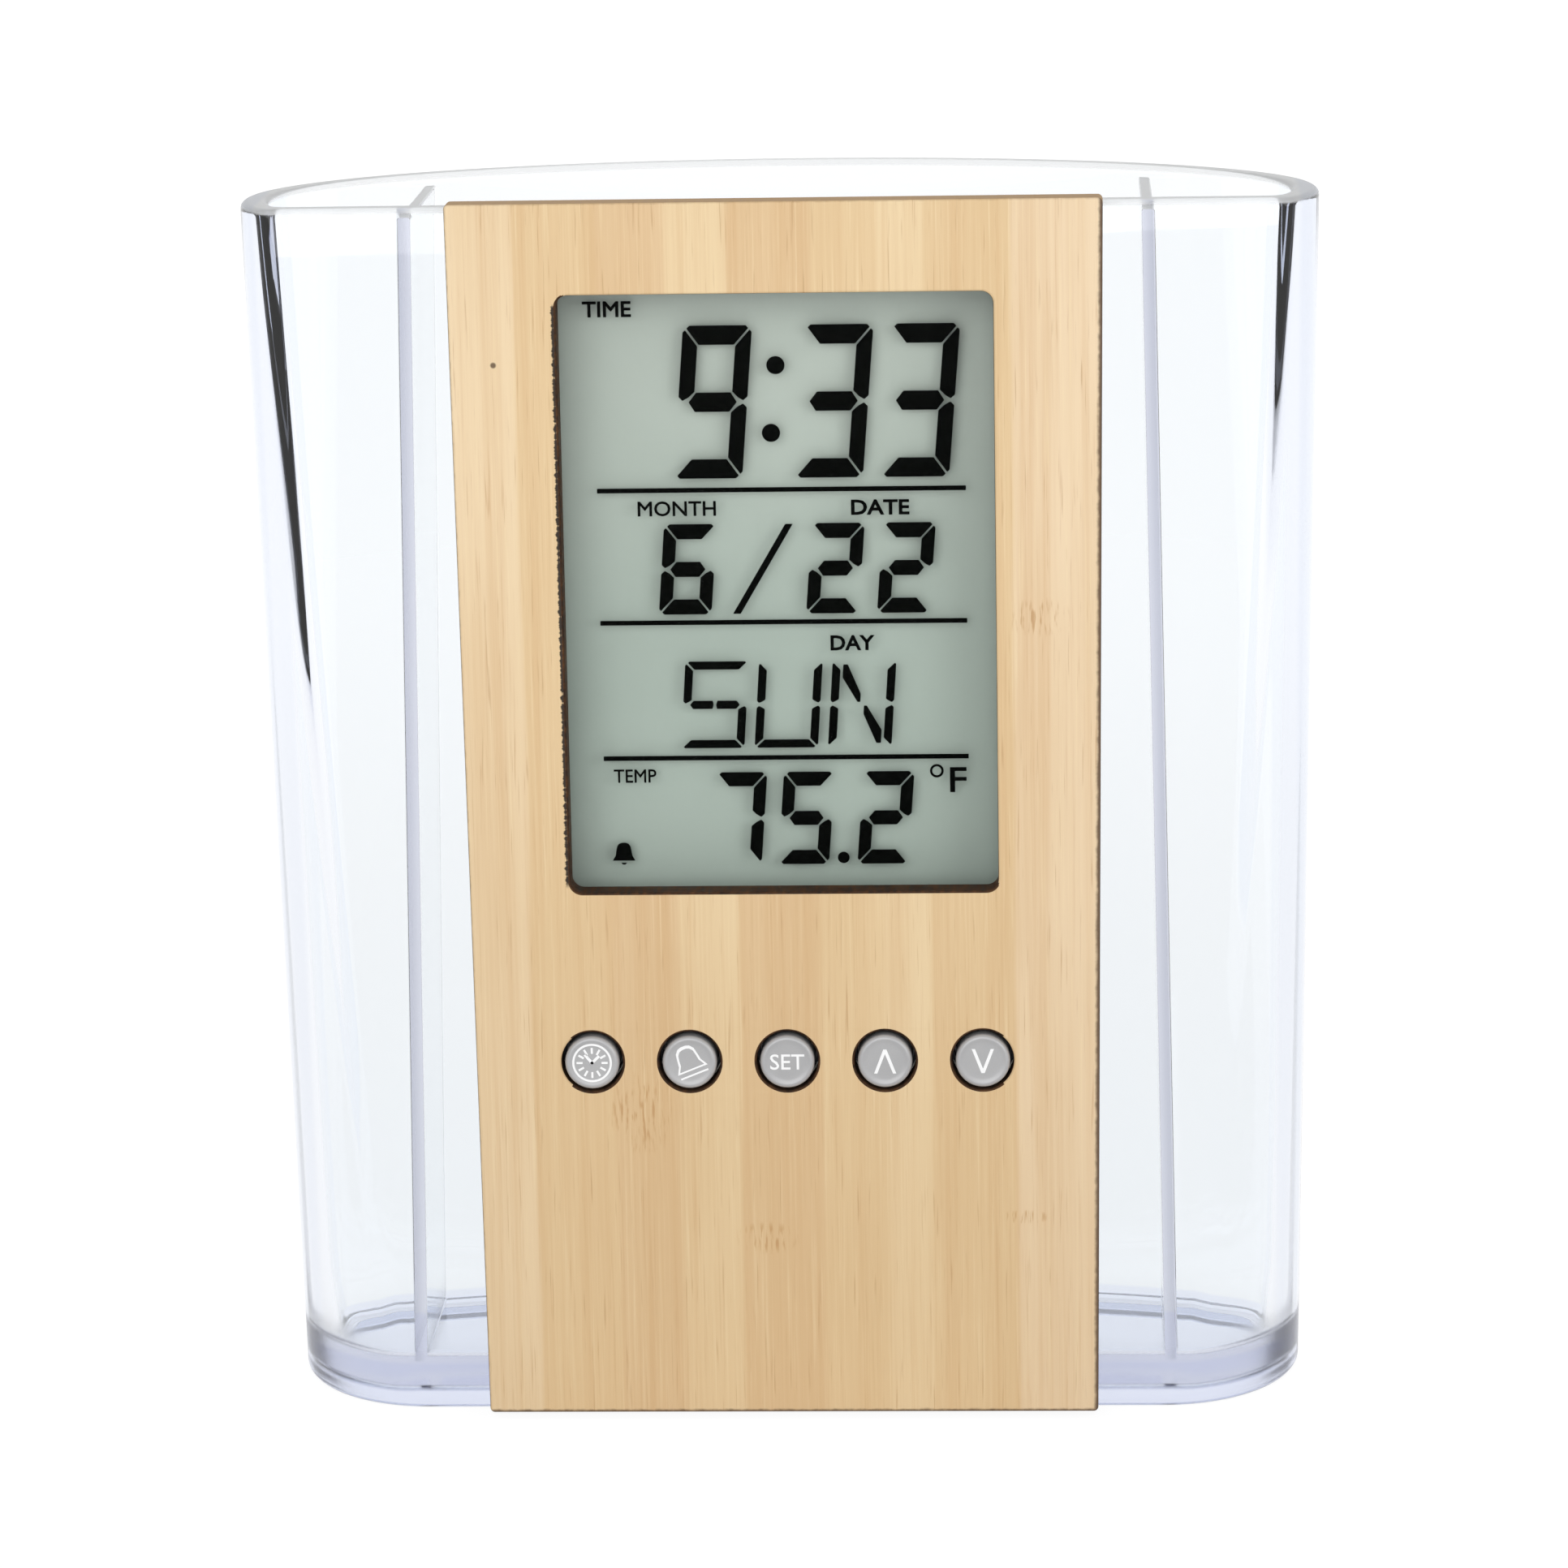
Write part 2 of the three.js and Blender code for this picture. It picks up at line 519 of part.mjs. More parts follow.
function clockFrame() {
  const flangeX = FRAME_HALF_WIDTH + FLANGE_WIDTH;
  const flange = rounded(
    -flangeX,
    flangeX,
    FRAME_FOOT_Z - FLANGE_WIDTH,
    FRAME_TOP_Z + FLANGE_WIDTH,
    FRAME_RADIUS
  );
  const front = plate(
    addFaceHoles(flange, FIT_GAP, KEY_DIAMETER + 2 * SLIDE_GAP),
    CUP_FRONT_Y,
    FRAME_PLATE_BACK_Y,
    0,
    8
  );
  const skirt = rounded(-FRAME_HALF_WIDTH, FRAME_HALF_WIDTH, FRAME_FOOT_Z, FRAME_TOP_Z, FRAME_RADIUS);
  const pocketX = GLASS_HALF_WIDTH + FIT_GAP;
  const pocketFootZ = GLASS_FOOT_Z - FIT_GAP;
  const bayTopZ = pocketFootZ - FRAME_RIB;
  skirt.holes.push(
    roundedPath(new THREE.Path(), -pocketX, pocketX, pocketFootZ, GLASS_TOP_Z + FIT_GAP, 0.5),
    roundedPath(
      new THREE.Path(),
      -CASE_INNER_HALF_WIDTH,
      CASE_INNER_HALF_WIDTH,
      CASE_INNER_FOOT_Z,
      bayTopZ,
      1
    )
  );
  const walls = plate(skirt, FRAME_PLATE_BACK_Y - SEAT_GAP, FRAME_BACK_Y, 0, 3);
  const seatY = CUP_FRONT_Y + FRAME_LIP;
  const glassSeat = block(-pocketX, pocketX, seatY, FRAME_BACK_Y + 1, pocketFootZ, GLASS_TOP_Z + FIT_GAP);
  const boardBosses = BOARD_SCREW_PLACES.map(([x, z]) =>
    rod(BOSS_DIAMETER, FRAME_PLATE_BACK_Y - SEAT_GAP, BOARD_FRONT_Y - SEAT_GAP, x, z)
  );
  const caseBosses = CASE_SCREW_PLACES.map(([x, z]) =>
    rod(CASE_BOSS_DIAMETER, FRAME_PLATE_BACK_Y - SEAT_GAP, CASE_BOSS_SPLIT_Y - SEAT_GAP, x, z)
  );
  const boardPilots = BOARD_SCREW_PLACES.map(([x, z]) =>
    rod(SCREW_HOLE_DIAMETER, BOARD_FRONT_Y - BOARD_SCREW_LENGTH, BOARD_FRONT_Y + 1, x, z, 12)
  );
  const casePilots = CASE_SCREW_PLACES.map(([x, z]) =>
    rod(SCREW_HOLE_DIAMETER, FRAME_PLATE_BACK_Y, CASE_BOSS_SPLIT_Y + 1, x, z, 12)
  );
  const solidFrame = join(front, walls, ...boardBosses, ...caseBosses);
  return cut(solidFrame, glassSeat, ...boardPilots, ...casePilots);
}

const CASE_SCREW_SEAT_Y = CASE_BACK_Y - CASE_SCREW_HEAD - SEAT_GAP;

function rearCase() {
  const outline = rounded(-FRAME_HALF_WIDTH, FRAME_HALF_WIDTH, FRAME_FOOT_Z, FRAME_TOP_Z, FRAME_RADIUS);
  const inside = rounded(
    -CASE_INNER_HALF_WIDTH,
    CASE_INNER_HALF_WIDTH,
    CASE_INNER_FOOT_Z,
    CASE_INNER_TOP_Z,
    FRAME_RADIUS - 1
  );
  const shell = cut(
    plate(outline, CASE_FRONT_Y, CASE_BACK_Y),
    plate(inside, CASE_FRONT_Y - 1, CASE_INNER_BACK_Y)
  );
  const pocketBlock = block(
    -POCKET_BLOCK_HALF_WIDTH,
    POCKET_BLOCK_HALF_WIDTH,
    POCKET_FRONT_Y,
    CASE_INNER_BACK_Y + 0.5,
    POCKET_BLOCK_FOOT_Z,
    CASE_INNER_TOP_Z + 0.5
  );
  const ribX = GLASS_HALF_WIDTH - PRESS_RIB_INSET;
  const pressRibs = [-1, 1].map((side) =>
    block(
      side * ribX - FRAME_RIB / 2,
      side * ribX + FRAME_RIB / 2,
      POCKET_FRONT_Y,
      CASE_INNER_BACK_Y + 0.5,
      BOARD_TOP_Z + PRESS_RIB_RISE,
      POCKET_BLOCK_FOOT_Z
    )
  );
  const bosses = CASE_SCREW_PLACES.map(([x, z]) =>
    rod(CASE_BOSS_DIAMETER, CASE_BOSS_SPLIT_Y, CASE_INNER_BACK_Y + 0.5, x, z)
  );
  const hooks = [];
  for (const side of [-1, 1]) {
    for (const z of [WINDOW_CENTRE_Z, KEY_ROW_Z]) {
      const wedge = new THREE.Shape();
      const foot = FRAME_HALF_WIDTH - 0.5;
      const tip = FRAME_HALF_WIDTH + HOOK_REACH;
      const frontY = CUP_INNER_FRONT_Y + FIT_GAP;
      wedge.moveTo(side * foot, frontY);
      wedge.lineTo(side * tip, frontY);
      wedge.lineTo(side * tip, frontY + HOOK_DEPTH / 3);
      wedge.lineTo(side * foot, frontY + HOOK_DEPTH);
      const geometry = new THREE.ExtrudeGeometry(wedge, { depth: HOOK_LENGTH, bevelEnabled: false });
      hooks.push(toSolid(geometry.translate(0, 0, z - HOOK_LENGTH / 2)));
    }
  }

  const pocketBackY = CASE_BACK_Y + 1;
  const pocket = block(-POCKET_HALF, POCKET_HALF, POCKET_FLOOR_Y, pocketBackY, POCKET_FOOT_Z, POCKET_TOP_Z);
  const slotX = COVER_HALF_WIDTH + SLIDE_GAP;
  const grooveX = slotX + COVER_TONGUE;
  const slotFootZ = COVER_FOOT_Z - SLIDE_GAP;
  const grooveFrontY = COVER_FRONT_Y - SEAT_GAP;
  const grooveBackY = COVER_FRONT_Y + TONGUE_THICKNESS + SLIDE_GAP;
  const slot = block(-slotX, slotX, grooveFrontY, CASE_BACK_Y + 1, slotFootZ, FRAME_TOP_Z + 1);
  const groove = block(-grooveX, grooveX, grooveFrontY, grooveBackY, slotFootZ, FRAME_TOP_Z + 1);
  const tailGap = CONTACT_WIDTH / 2 + FIT_GAP;
  const floorTail = block(
    -tailGap,
    tailGap,
    POCKET_FLOOR_Y,
    CELL_FRONT_Y + FIT_GAP,
    POCKET_BLOCK_FOOT_Z - 1,
    POCKET_FOOT_Z + 1
  );
  const sideTail = block(
    POCKET_HALF - CONTACT_THICKNESS - FIT_GAP,
    POCKET_HALF,
    CELL_FRONT_Y,
    CELL_FRONT_Y + CONTACT_WIDTH,
    POCKET_BLOCK_FOOT_Z - 1,
    POCKET_FOOT_Z + 1
  );
  const soundHoles = [rod(SOUND_HOLE_DIAMETER, CASE_INNER_BACK_Y - 1, CASE_BACK_Y + 1, 0, BUZZER_Z, 10)];
  for (let i = 0; i < 6; i += 1) {
    const angle = (i / 6) * 2 * Math.PI;
    const x = SOUND_RING_RADIUS * Math.cos(angle);
    const z = BUZZER_Z + SOUND_RING_RADIUS * Math.sin(angle);
    soundHoles.push(rod(SOUND_HOLE_DIAMETER, CASE_INNER_BACK_Y - 1, CASE_BACK_Y + 1, x, z, 10));
  }
  const screwHoles = CASE_SCREW_PLACES.map(([x, z]) =>
    rod(SCREW_HOLE_DIAMETER, CASE_BOSS_SPLIT_Y - 1, CASE_BACK_Y, x, z, 12)
  );
  const screwSeats = CASE_SCREW_PLACES.map(([x, z]) =>
    rod(SCREW_HEAD_DIAMETER + 2 * SLIDE_GAP, CASE_SCREW_SEAT_Y, CASE_BACK_Y + 1, x, z)
  );
  const solidCase = join(shell, pocketBlock, ...pressRibs, ...bosses, ...hooks);
  const holes = [...soundHoles, ...screwHoles, ...screwSeats];
  return cut(solidCase, pocket, slot, groove, floorTail, sideTail, ...holes);
}

function batteryCover() {
  const topZ = FRAME_TOP_Z;
  const panel = block(-COVER_HALF_WIDTH, COVER_HALF_WIDTH, COVER_FRONT_Y, CASE_BACK_Y, COVER_FOOT_Z, topZ);
  const tongueX = COVER_HALF_WIDTH + COVER_TONGUE;
  const tongueBackY = COVER_FRONT_Y + TONGUE_THICKNESS;
  const tongues = block(-tongueX, tongueX, COVER_FRONT_Y, tongueBackY, COVER_FOOT_Z, topZ - 1);
  const ribs = [];
  for (let i = 0; i < GRIP_RIB_COUNT; i += 1) {
    const z = topZ - GRIP_RIB_DROP - i * GRIP_RIB_PITCH;
    const half = GRIP_RIB_WIDTH / 2;
    ribs.push(block(-half, half, CASE_BACK_Y - 0.3, CASE_BACK_Y + GRIP_RIB_HEIGHT, z - 0.8, z));
  }
  return join(panel, tongues, ...ribs);
}

// A flat layer of the display between two heights.
function layer(inset, y, thickness, footZ) {
  const halfWidth = GLASS_HALF_WIDTH - inset;
  return block(-halfWidth, halfWidth, y, y + thickness, footZ, GLASS_TOP_Z - inset);
}

function circuitBoard() {
  const outline = rounded(-BOARD_HALF_WIDTH, BOARD_HALF_WIDTH, BOARD_FOOT_Z, BOARD_TOP_Z, 1);
  for (const [x, z] of BOARD_SCREW_PLACES) outline.holes.push(circleHole(x, z, SCREW_HOLE_DIAMETER));
  return plate(outline, BOARD_FRONT_Y, BOARD_FRONT_Y + BOARD_THICKNESS, 0, 5);
}

// A pan-head screw pointing to the front, with its head's underside at y = 0 and a cross recess.
function screw(headHeight, shankLength) {
  const headRadius = SCREW_HEAD_DIAMETER / 2;
  const shankRadius = SCREW_SHANK_DIAMETER / 2;
  const body = turned([
    [0, -shankLength],
    [shankRadius * 0.5, -shankLength],
    [shankRadius, -shankLength + 0.6],
    [shankRadius, 0],
    [headRadius, 0],
    [headRadius, headHeight * 0.6],
    [headRadius * 0.8, headHeight],
    [0, headHeight],
  ], 12);
  const arm = headRadius * 0.6;
  const recessFloor = headHeight * 0.45;
  return cut(
    body,
    block(-arm, arm, recessFloor, headHeight + 1, -0.25, 0.25),
    block(-0.25, 0.25, recessFloor, headHeight + 1, -arm, arm)
  );
}

// Key cap, with y = 0 at its flange's front face.
function keyCap() {
  const radius = KEY_DIAMETER / 2;
  const faceY = -(KEY_FLANGE_Y + KEY_PROUD);
  return turned([
    [0, faceY],
    [radius - KEY_EDGE, faceY + 0.04],
    [radius - KEY_EDGE * 0.3, faceY + KEY_EDGE * 0.3],
    [radius, faceY + KEY_EDGE],
    [radius, 0],
    [KEY_FLANGE_DIAMETER / 2, 0],
    [KEY_FLANGE_DIAMETER / 2, KEY_FLANGE_THICKNESS],
    [0, KEY_FLANGE_THICKNESS],
  ]);
}

// Switch housing and plunger, with y = 0 at the board's front face.
function switchHousing() {
  const half = SWITCH_WIDTH / 2;
  const outline = rounded(-half, half, -half, half, 0.6);
  const bore = PLUNGER_DIAMETER + 2 * SLIDE_GAP;
  return cut(
    plate(outline, -SEAT_GAP - SWITCH_HEIGHT, -SEAT_GAP, 0, 2),
    rod(bore, -SEAT_GAP - SWITCH_HEIGHT - 1, -0.3, 0, 0, 16)
  );
}

function coinCell() {
  const radius = CELL_DIAMETER / 2;
  return turned([
    [0, 0],
    [radius - CELL_STEP, 0],
    [radius - CELL_STEP, 0.5],
    [radius, 0.8],
    [radius, CELL_THICKNESS - 0.2],
    [radius - 0.2, CELL_THICKNESS],
    [0, CELL_THICKNESS],
  ], 24);
}

function alarmDisc() {
  return turned([
    [0, -2 * BUZZER_THICKNESS],
    [CERAMIC_DIAMETER / 2, -2 * BUZZER_THICKNESS],
    [CERAMIC_DIAMETER / 2, -BUZZER_THICKNESS],
    [BUZZER_DIAMETER / 2, -BUZZER_THICKNESS],
    [BUZZER_DIAMETER / 2, 0],
    [0, 0],
  ], 24);
}

function resinDrop() {
  const radius = CHIP_DIAMETER / 2;
  return turned([
    [0, -CHIP_HEIGHT],
    [radius * 0.5, -CHIP_HEIGHT * 0.88],
    [radius * 0.86, -CHIP_HEIGHT * 0.52],
    [radius, 0],
    [0, 0],
  ], 16);
}

function crystalCan() {
  const can = new THREE.CylinderGeometry(CRYSTAL_DIAMETER / 2, CRYSTAL_DIAMETER / 2, CRYSTAL_LENGTH, 16);
  return toSolid(can.rotateZ(Math.PI / 2));
}

const sideContactX = POCKET_HALF - CONTACT_THICKNESS - SEAT_GAP;

function floorContact() {
  const half = CONTACT_WIDTH / 2;
  const footZ = POCKET_BLOCK_FOOT_Z - CONTACT_TAIL;
  const y0 = POCKET_FLOOR_Y + SEAT_GAP;
  return block(-half, half, y0, y0 + CONTACT_THICKNESS, footZ, CELL_Z + FLOOR_CONTACT_RISE);
}

function sideContact() {
  const footZ = POCKET_BLOCK_FOOT_Z - CONTACT_TAIL;
  const y0 = CELL_FRONT_Y + SLIDE_GAP;
  const y1 = CELL_FRONT_Y + CONTACT_WIDTH - SLIDE_GAP;
  return block(sideContactX, sideContactX + CONTACT_THICKNESS, y0, y1, footZ, CELL_Z + SIDE_CONTACT_RISE);
}

// Leads end at the board's top edge and start under the piece that they serve.
const LEAD_END_Y = BOARD_FRONT_Y + BOARD_THICKNESS / 2;
const LEAD_END_Z = BOARD_TOP_Z + FIT_GAP;
const CONTACT_FOOT_Z = POCKET_BLOCK_FOOT_Z - CONTACT_TAIL;

function contactLead(startX, startY, endX) {
  return lead(
    [
      [startX, startY, CONTACT_FOOT_Z - FIT_GAP],
      [(startX + endX) / 2, startY + BATTERY_LEAD_BOW, (CONTACT_FOOT_Z + LEAD_END_Z) / 2],
      [endX, LEAD_END_Y, LEAD_END_Z],
    ],
    LEAD_DIAMETER
  );
}

function buzzerLead(startX, endX) {
  const startZ = BUZZER_Z - BUZZER_DIAMETER / 2 + ALARM_LEAD_LAP;
  const startY = BUZZER_BACK_Y - 2 * BUZZER_THICKNESS - LEAD_DIAMETER / 2 - SEAT_GAP;
  return lead(
    [
      [startX, startY, startZ],
      [(startX + endX) / 2, startY - ALARM_LEAD_BOW, (startZ + LEAD_END_Z) / 2],
      [endX, LEAD_END_Y, LEAD_END_Z],
    ],
    LEAD_DIAMETER
  );
}

function add(parent, name, solid, material, x = 0, y = 0, z = 0) {
  const mesh = new THREE.Mesh(toGeometry(solid), material);
  mesh.name = name;
  mesh.position.set(x, y, z);
  parent.add(mesh);
}

const holder = new THREE.Group();
add(holder, "clear_cup", clearCup(), CLEAR_PLASTIC);

const clock = new THREE.Group();
holder.add(clock);
add(clock, "bamboo_fascia", fascia(), BAMBOO);
add(clock, "fascia_adhesive", adhesiveSheet(), ADHESIVE);
add(clock, "clock_frame", clockFrame(), BLACK_PLASTIC);
add(clock, "rear_case", rearCase(), WHITE_PLASTIC);
add(clock, "battery_cover", batteryCover(), WHITE_PLASTIC);
CASE_SCREW_PLACES.forEach(([x, z], i) => {
  const fastener = screw(CASE_SCREW_HEAD - 0.1, CASE_SCREW_LENGTH);
  add(clock, `case_screw_${i + 1}`, fastener, STEEL, x, CASE_SCREW_SEAT_Y + SEAT_GAP, z);
});

const display = new THREE.Group();
clock.add(display);
const filmFootZ = REAR_GLASS_FOOT_Z + FILM_INSET;
add(display, "lcd_front_film", layer(FILM_INSET, FRONT_FILM_Y, FILM_THICKNESS, filmFootZ), FILM);
add(display, "lcd_front_glass", layer(0, FRONT_GLASS_Y, GLASS_THICKNESS, GLASS_FOOT_Z), GLASS);
add(display, "lcd_rear_glass", layer(0, REAR_GLASS_Y, GLASS_THICKNESS, REAR_GLASS_FOOT_Z), GLASS);
add(display, "lcd_reflector", layer(FILM_INSET, REFLECTOR_Y, FILM_THICKNESS, filmFootZ), REFLECTOR);
const stripZ = (GLASS_FOOT_Z + REAR_GLASS_FOOT_Z) / 2;
const stripX = GLASS_HALF_WIDTH - 1;
const stripFrontY = FRONT_GLASS_Y + GLASS_THICKNESS + SEAT_GAP;
const strip = block(
  -stripX,
  stripX,
  stripFrontY,
  BOARD_FRONT_Y - SEAT_GAP,
  stripZ - STRIP_WIDTH / 2,
  stripZ + STRIP_WIDTH / 2
);
add(display, "contact_strip", strip, RUBBER);

const electronics = new THREE.Group();
clock.add(electronics);
add(electronics, "circuit_board", circuitBoard(), BOARD_GREEN);
BOARD_SCREW_PLACES.forEach(([x, z], i) => {
  const fastener = screw(BOARD_SCREW_HEAD, BOARD_SCREW_LENGTH);
  add(electronics, `board_screw_${i + 1}`, fastener, STEEL, x, BOARD_FRONT_Y + BOARD_THICKNESS + SEAT_GAP, z);
});
add(electronics, "chip_resin", resinDrop(), RESIN, 0, BOARD_FRONT_Y - SEAT_GAP, COMPONENT_ROW_Z);
const crystalY = BOARD_FRONT_Y - SEAT_GAP - CRYSTAL_DIAMETER / 2;
add(electronics, "quartz_crystal", crystalCan(), STEEL, -KEY_PITCH, crystalY, COMPONENT_ROW_Z);
const sensor = toSolid(new THREE.SphereGeometry(SENSOR_DIAMETER / 2, 10, 8));
const sensorY = BOARD_FRONT_Y - SEAT_GAP - SENSOR_DIAMETER / 2;
add(electronics, "temperature_sensor", sensor, RESIN, KEY_PITCH, sensorY, COMPONENT_ROW_Z);
add(electronics, "alarm_disc", alarmDisc(), BRASS, 0, BUZZER_BACK_Y, BUZZER_Z);
add(electronics, "alarm_lead_1", buzzerLead(-ALARM_LEAD_START_X, ALARM_LEAD_1_END_X), RED_INSULATION);
add(electronics, "alarm_lead_2", buzzerLead(ALARM_LEAD_START_X, ALARM_LEAD_2_END_X), BLACK_INSULATION);
add(electronics, "coin_cell", coinCell(), STEEL, 0, CELL_FRONT_Y, CELL_Z);
add(electronics, "battery_contact_floor", floorContact(), BRASS);
add(electronics, "battery_contact_side", sideContact(), BRASS);
const floorLeadY = POCKET_FLOOR_Y + SEAT_GAP + CONTACT_THICKNESS / 2 + 0.3;
add(electronics, "battery_lead_1", contactLead(0, floorLeadY, -BATTERY_LEAD_END_X), BLACK_INSULATION);
const sideLeadX = sideContactX + CONTACT_THICKNESS / 2;
const sideLeadY = CELL_FRONT_Y + CONTACT_WIDTH / 2;
add(electronics, "battery_lead_2", contactLead(sideLeadX, sideLeadY, BATTERY_LEAD_END_X), RED_INSULATION);

KEY_NAMES.forEach((name, i) => {
  const key = new THREE.Group();
  key.position.set(keyX(i), 0, KEY_ROW_Z);
  clock.add(key);
  add(key, `key_${name}`, keyCap(), SILVER_PLASTIC, 0, KEY_FLANGE_Y);
  const plunger = rod(PLUNGER_DIAMETER, 0, PLUNGER_LENGTH, 0, 0, 16);
  add(key, `plunger_${name}`, plunger, BLACK_PLASTIC, 0, PLUNGER_FRONT_Y);
  add(key, `switch_${name}`, switchHousing(), BLACK_PLASTIC, 0, BOARD_FRONT_Y);
});

// The origin lies on the table under the middle of the object.
const backY = cupBackY(CUP_HEIGHT - RIM_RADIUS);
holder.position.y = -(backY - KEY_PROUD) / 2;

export default holder;
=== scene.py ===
import math

import bmesh
import bpy
from mathutils import Matrix, Vector
from mathutils.geometry import tessellate_polygon


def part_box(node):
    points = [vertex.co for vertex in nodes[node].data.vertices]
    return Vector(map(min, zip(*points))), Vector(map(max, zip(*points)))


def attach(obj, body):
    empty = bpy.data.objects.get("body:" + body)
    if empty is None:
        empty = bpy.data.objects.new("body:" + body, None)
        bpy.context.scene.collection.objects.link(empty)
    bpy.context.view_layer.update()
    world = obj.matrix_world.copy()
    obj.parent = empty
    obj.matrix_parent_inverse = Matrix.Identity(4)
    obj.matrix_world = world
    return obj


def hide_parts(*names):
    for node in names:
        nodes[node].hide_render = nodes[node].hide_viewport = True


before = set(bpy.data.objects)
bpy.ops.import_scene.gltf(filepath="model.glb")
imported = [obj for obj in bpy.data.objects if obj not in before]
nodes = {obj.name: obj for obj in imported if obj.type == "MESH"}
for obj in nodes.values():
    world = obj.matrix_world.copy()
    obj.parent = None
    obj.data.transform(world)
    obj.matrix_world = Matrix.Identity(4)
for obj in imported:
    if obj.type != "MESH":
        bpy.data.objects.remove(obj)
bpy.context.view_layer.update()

# Shapes are drawn in millimetres, with Y counted from the bamboo's front face, and then put in the frame.
MM = 0.001
FRONT_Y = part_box("bamboo_fascia")[0].y / MM
TO_FRAME = Matrix.Scale(MM, 4) @ Matrix.Translation((0, FRONT_Y, 0))
HOLDER = "holder"

# Bamboo face plate
PLATE_FOOT_Z = 0.6
PLATE_TOP_Z = 104.6
PLATE_HALF_TOP = 26.95
PLATE_HALF_FOOT = 26.05
PLATE_THICKNESS = 2.5
PLATE_CORNER = 0.4
PLATE_EDGE = 0.25
WINDOW_HALF_WIDTH = 17.95
WINDOW_FOOT_Z = 46.5
WINDOW_TOP_Z = 97.0
WINDOW_CORNER = 1.0

# Keys
KEY_NAMES = ("mode", "alarm", "set", "up", "down")
KEY_PITCH = 8.25
KEY_ROW_Z = 31.8
KEY_HOLE_RADIUS = 2.6
KEY_HOLE_SIDES = 72
KEY_RADIUS = 2.3
KEY_FACE_Y = -0.4
KEY_DISH = 0.1
KEY_EDGE = 0.4
KEY_FLANGE_RADIUS = 3.1
KEY_FLANGE_FRONT_Y = 4.0
KEY_FLANGE_BACK_Y = 4.7
KEY_FLANGE_EDGE = 0.1
KEY_SIDES = 96

# Clear cup, whose outline runs from a foot size to a rim size
CUP_HEIGHT = 104.0
CUP_FRONT_Y = 2.8
CUP_HALF_FOOT = 43.7
CUP_HALF_RIM = 45.0
CUP_DEPTH_FOOT = 24.6
CUP_DEPTH_RIM = 31.8
CUP_WIDEST_FOOT = 14.0
CUP_WIDEST_RIM = 7.9
CUP_TURN_WIDTH_FOOT = 12.0
CUP_TURN_WIDTH_RIM = 45.0
CUP_TURN_DEPTH_FOOT = 14.0
CUP_TURN_DEPTH_RIM = 23.9
CUP_CORNER = 1.0
CUP_WALL = 2.4
RIM_RADIUS = 0.7
FOOT_RADIUS = 0.7
FLOOR_TOP_Z = 4.1
FLOOR_FILLET = 0.8
RECESS_DEPTH = 1.4
RECESS_INSET = 2.8
DIVIDER_TOP_Z = 103.0
DIVIDER_TOP_X = 31.2
DIVIDER_FOOT_X = 32.9
DIVIDER_THICKNESS = 1.0
DIVIDER_TOP_ROUND = 0.2
DIVIDER_FILLET = 0.15
DIVIDER_SINK = 0.03
OPENING_HALF_WIDTH = 23.25
OPENING_FOOT_Z = 6.5
OPENING_TOP_Z = 100.2
OPENING_CORNER = 2.0
REBATE_HALF_WIDTH = 24.95
REBATE_FOOT_Z = 4.8
REBATE_TOP_Z = 101.9
REBATE_BACK_Y = 4.0
CUT_MARGIN = 2.0

# Clear plastic: its tints, the shade painted at its ends, foot and divider roots, and where use has dulled
# it
CLEAR_TINT = (0.985, 1.0, 1.0, 1.0)
LOW_TINT = (0.975, 0.995, 1.0, 1.0)
END_SHADE_TINT = (0.84, 0.88, 0.94, 1.0)
END_SHADE_TINT_X = 42.9
END_SHADE_TINT_BLEND = 0.6
FOOT_SHADE_TINT = (0.83, 0.87, 1.0, 1.0)
FOOT_SHADE_TINT_BLEND = 0.3
DIVIDER_SHADE_TINT = (0.65, 0.67, 0.71, 1.0)
DIVIDER_SHADE_WIDTH = 1.25
DIVIDER_SHADE_EDGE = 0.2
ABSORPTION_TINT = (0.0, 0.05, 0.35, 1.0)
ABSORPTION_DENSITY = 18.0
RIM_CLEARNESS = 0.55
RIM_ROUGHNESS = 0.3
HAZE_ROUGHNESS = 0.03
SCUFF_LOW_Z = 4.6
SCUFF_HIGH_Z = 7.5
SCUFF_ROUGHNESS = 0.2


def linear(red, green, blue):
    """A colour in screen values from 0 to 255, as the linear values that shaders take."""
    def channel(value):
        share = value / 255
        return share / 12.92 if share <= 0.04045 else ((share + 0.055) / 1.055) ** 2.4

    return (channel(red), channel(green), channel(blue), 1.0)


def lerp(start, end, share):
    return start + (end - start) * share


# Shader building

def add_node(tree, kind, inputs, **settings):
    """A new shader node, with each input set to a value or linked to another node's output."""
    node = tree.nodes.new(kind)
    for name, value in settings.items():
        setattr(node, name, value)
    for socket, value in inputs.items():
        if isinstance(value, bpy.types.NodeSocket):
            tree.links.new(value, node.inputs[socket])
        else:
            node.inputs[socket].default_value = value
    return node


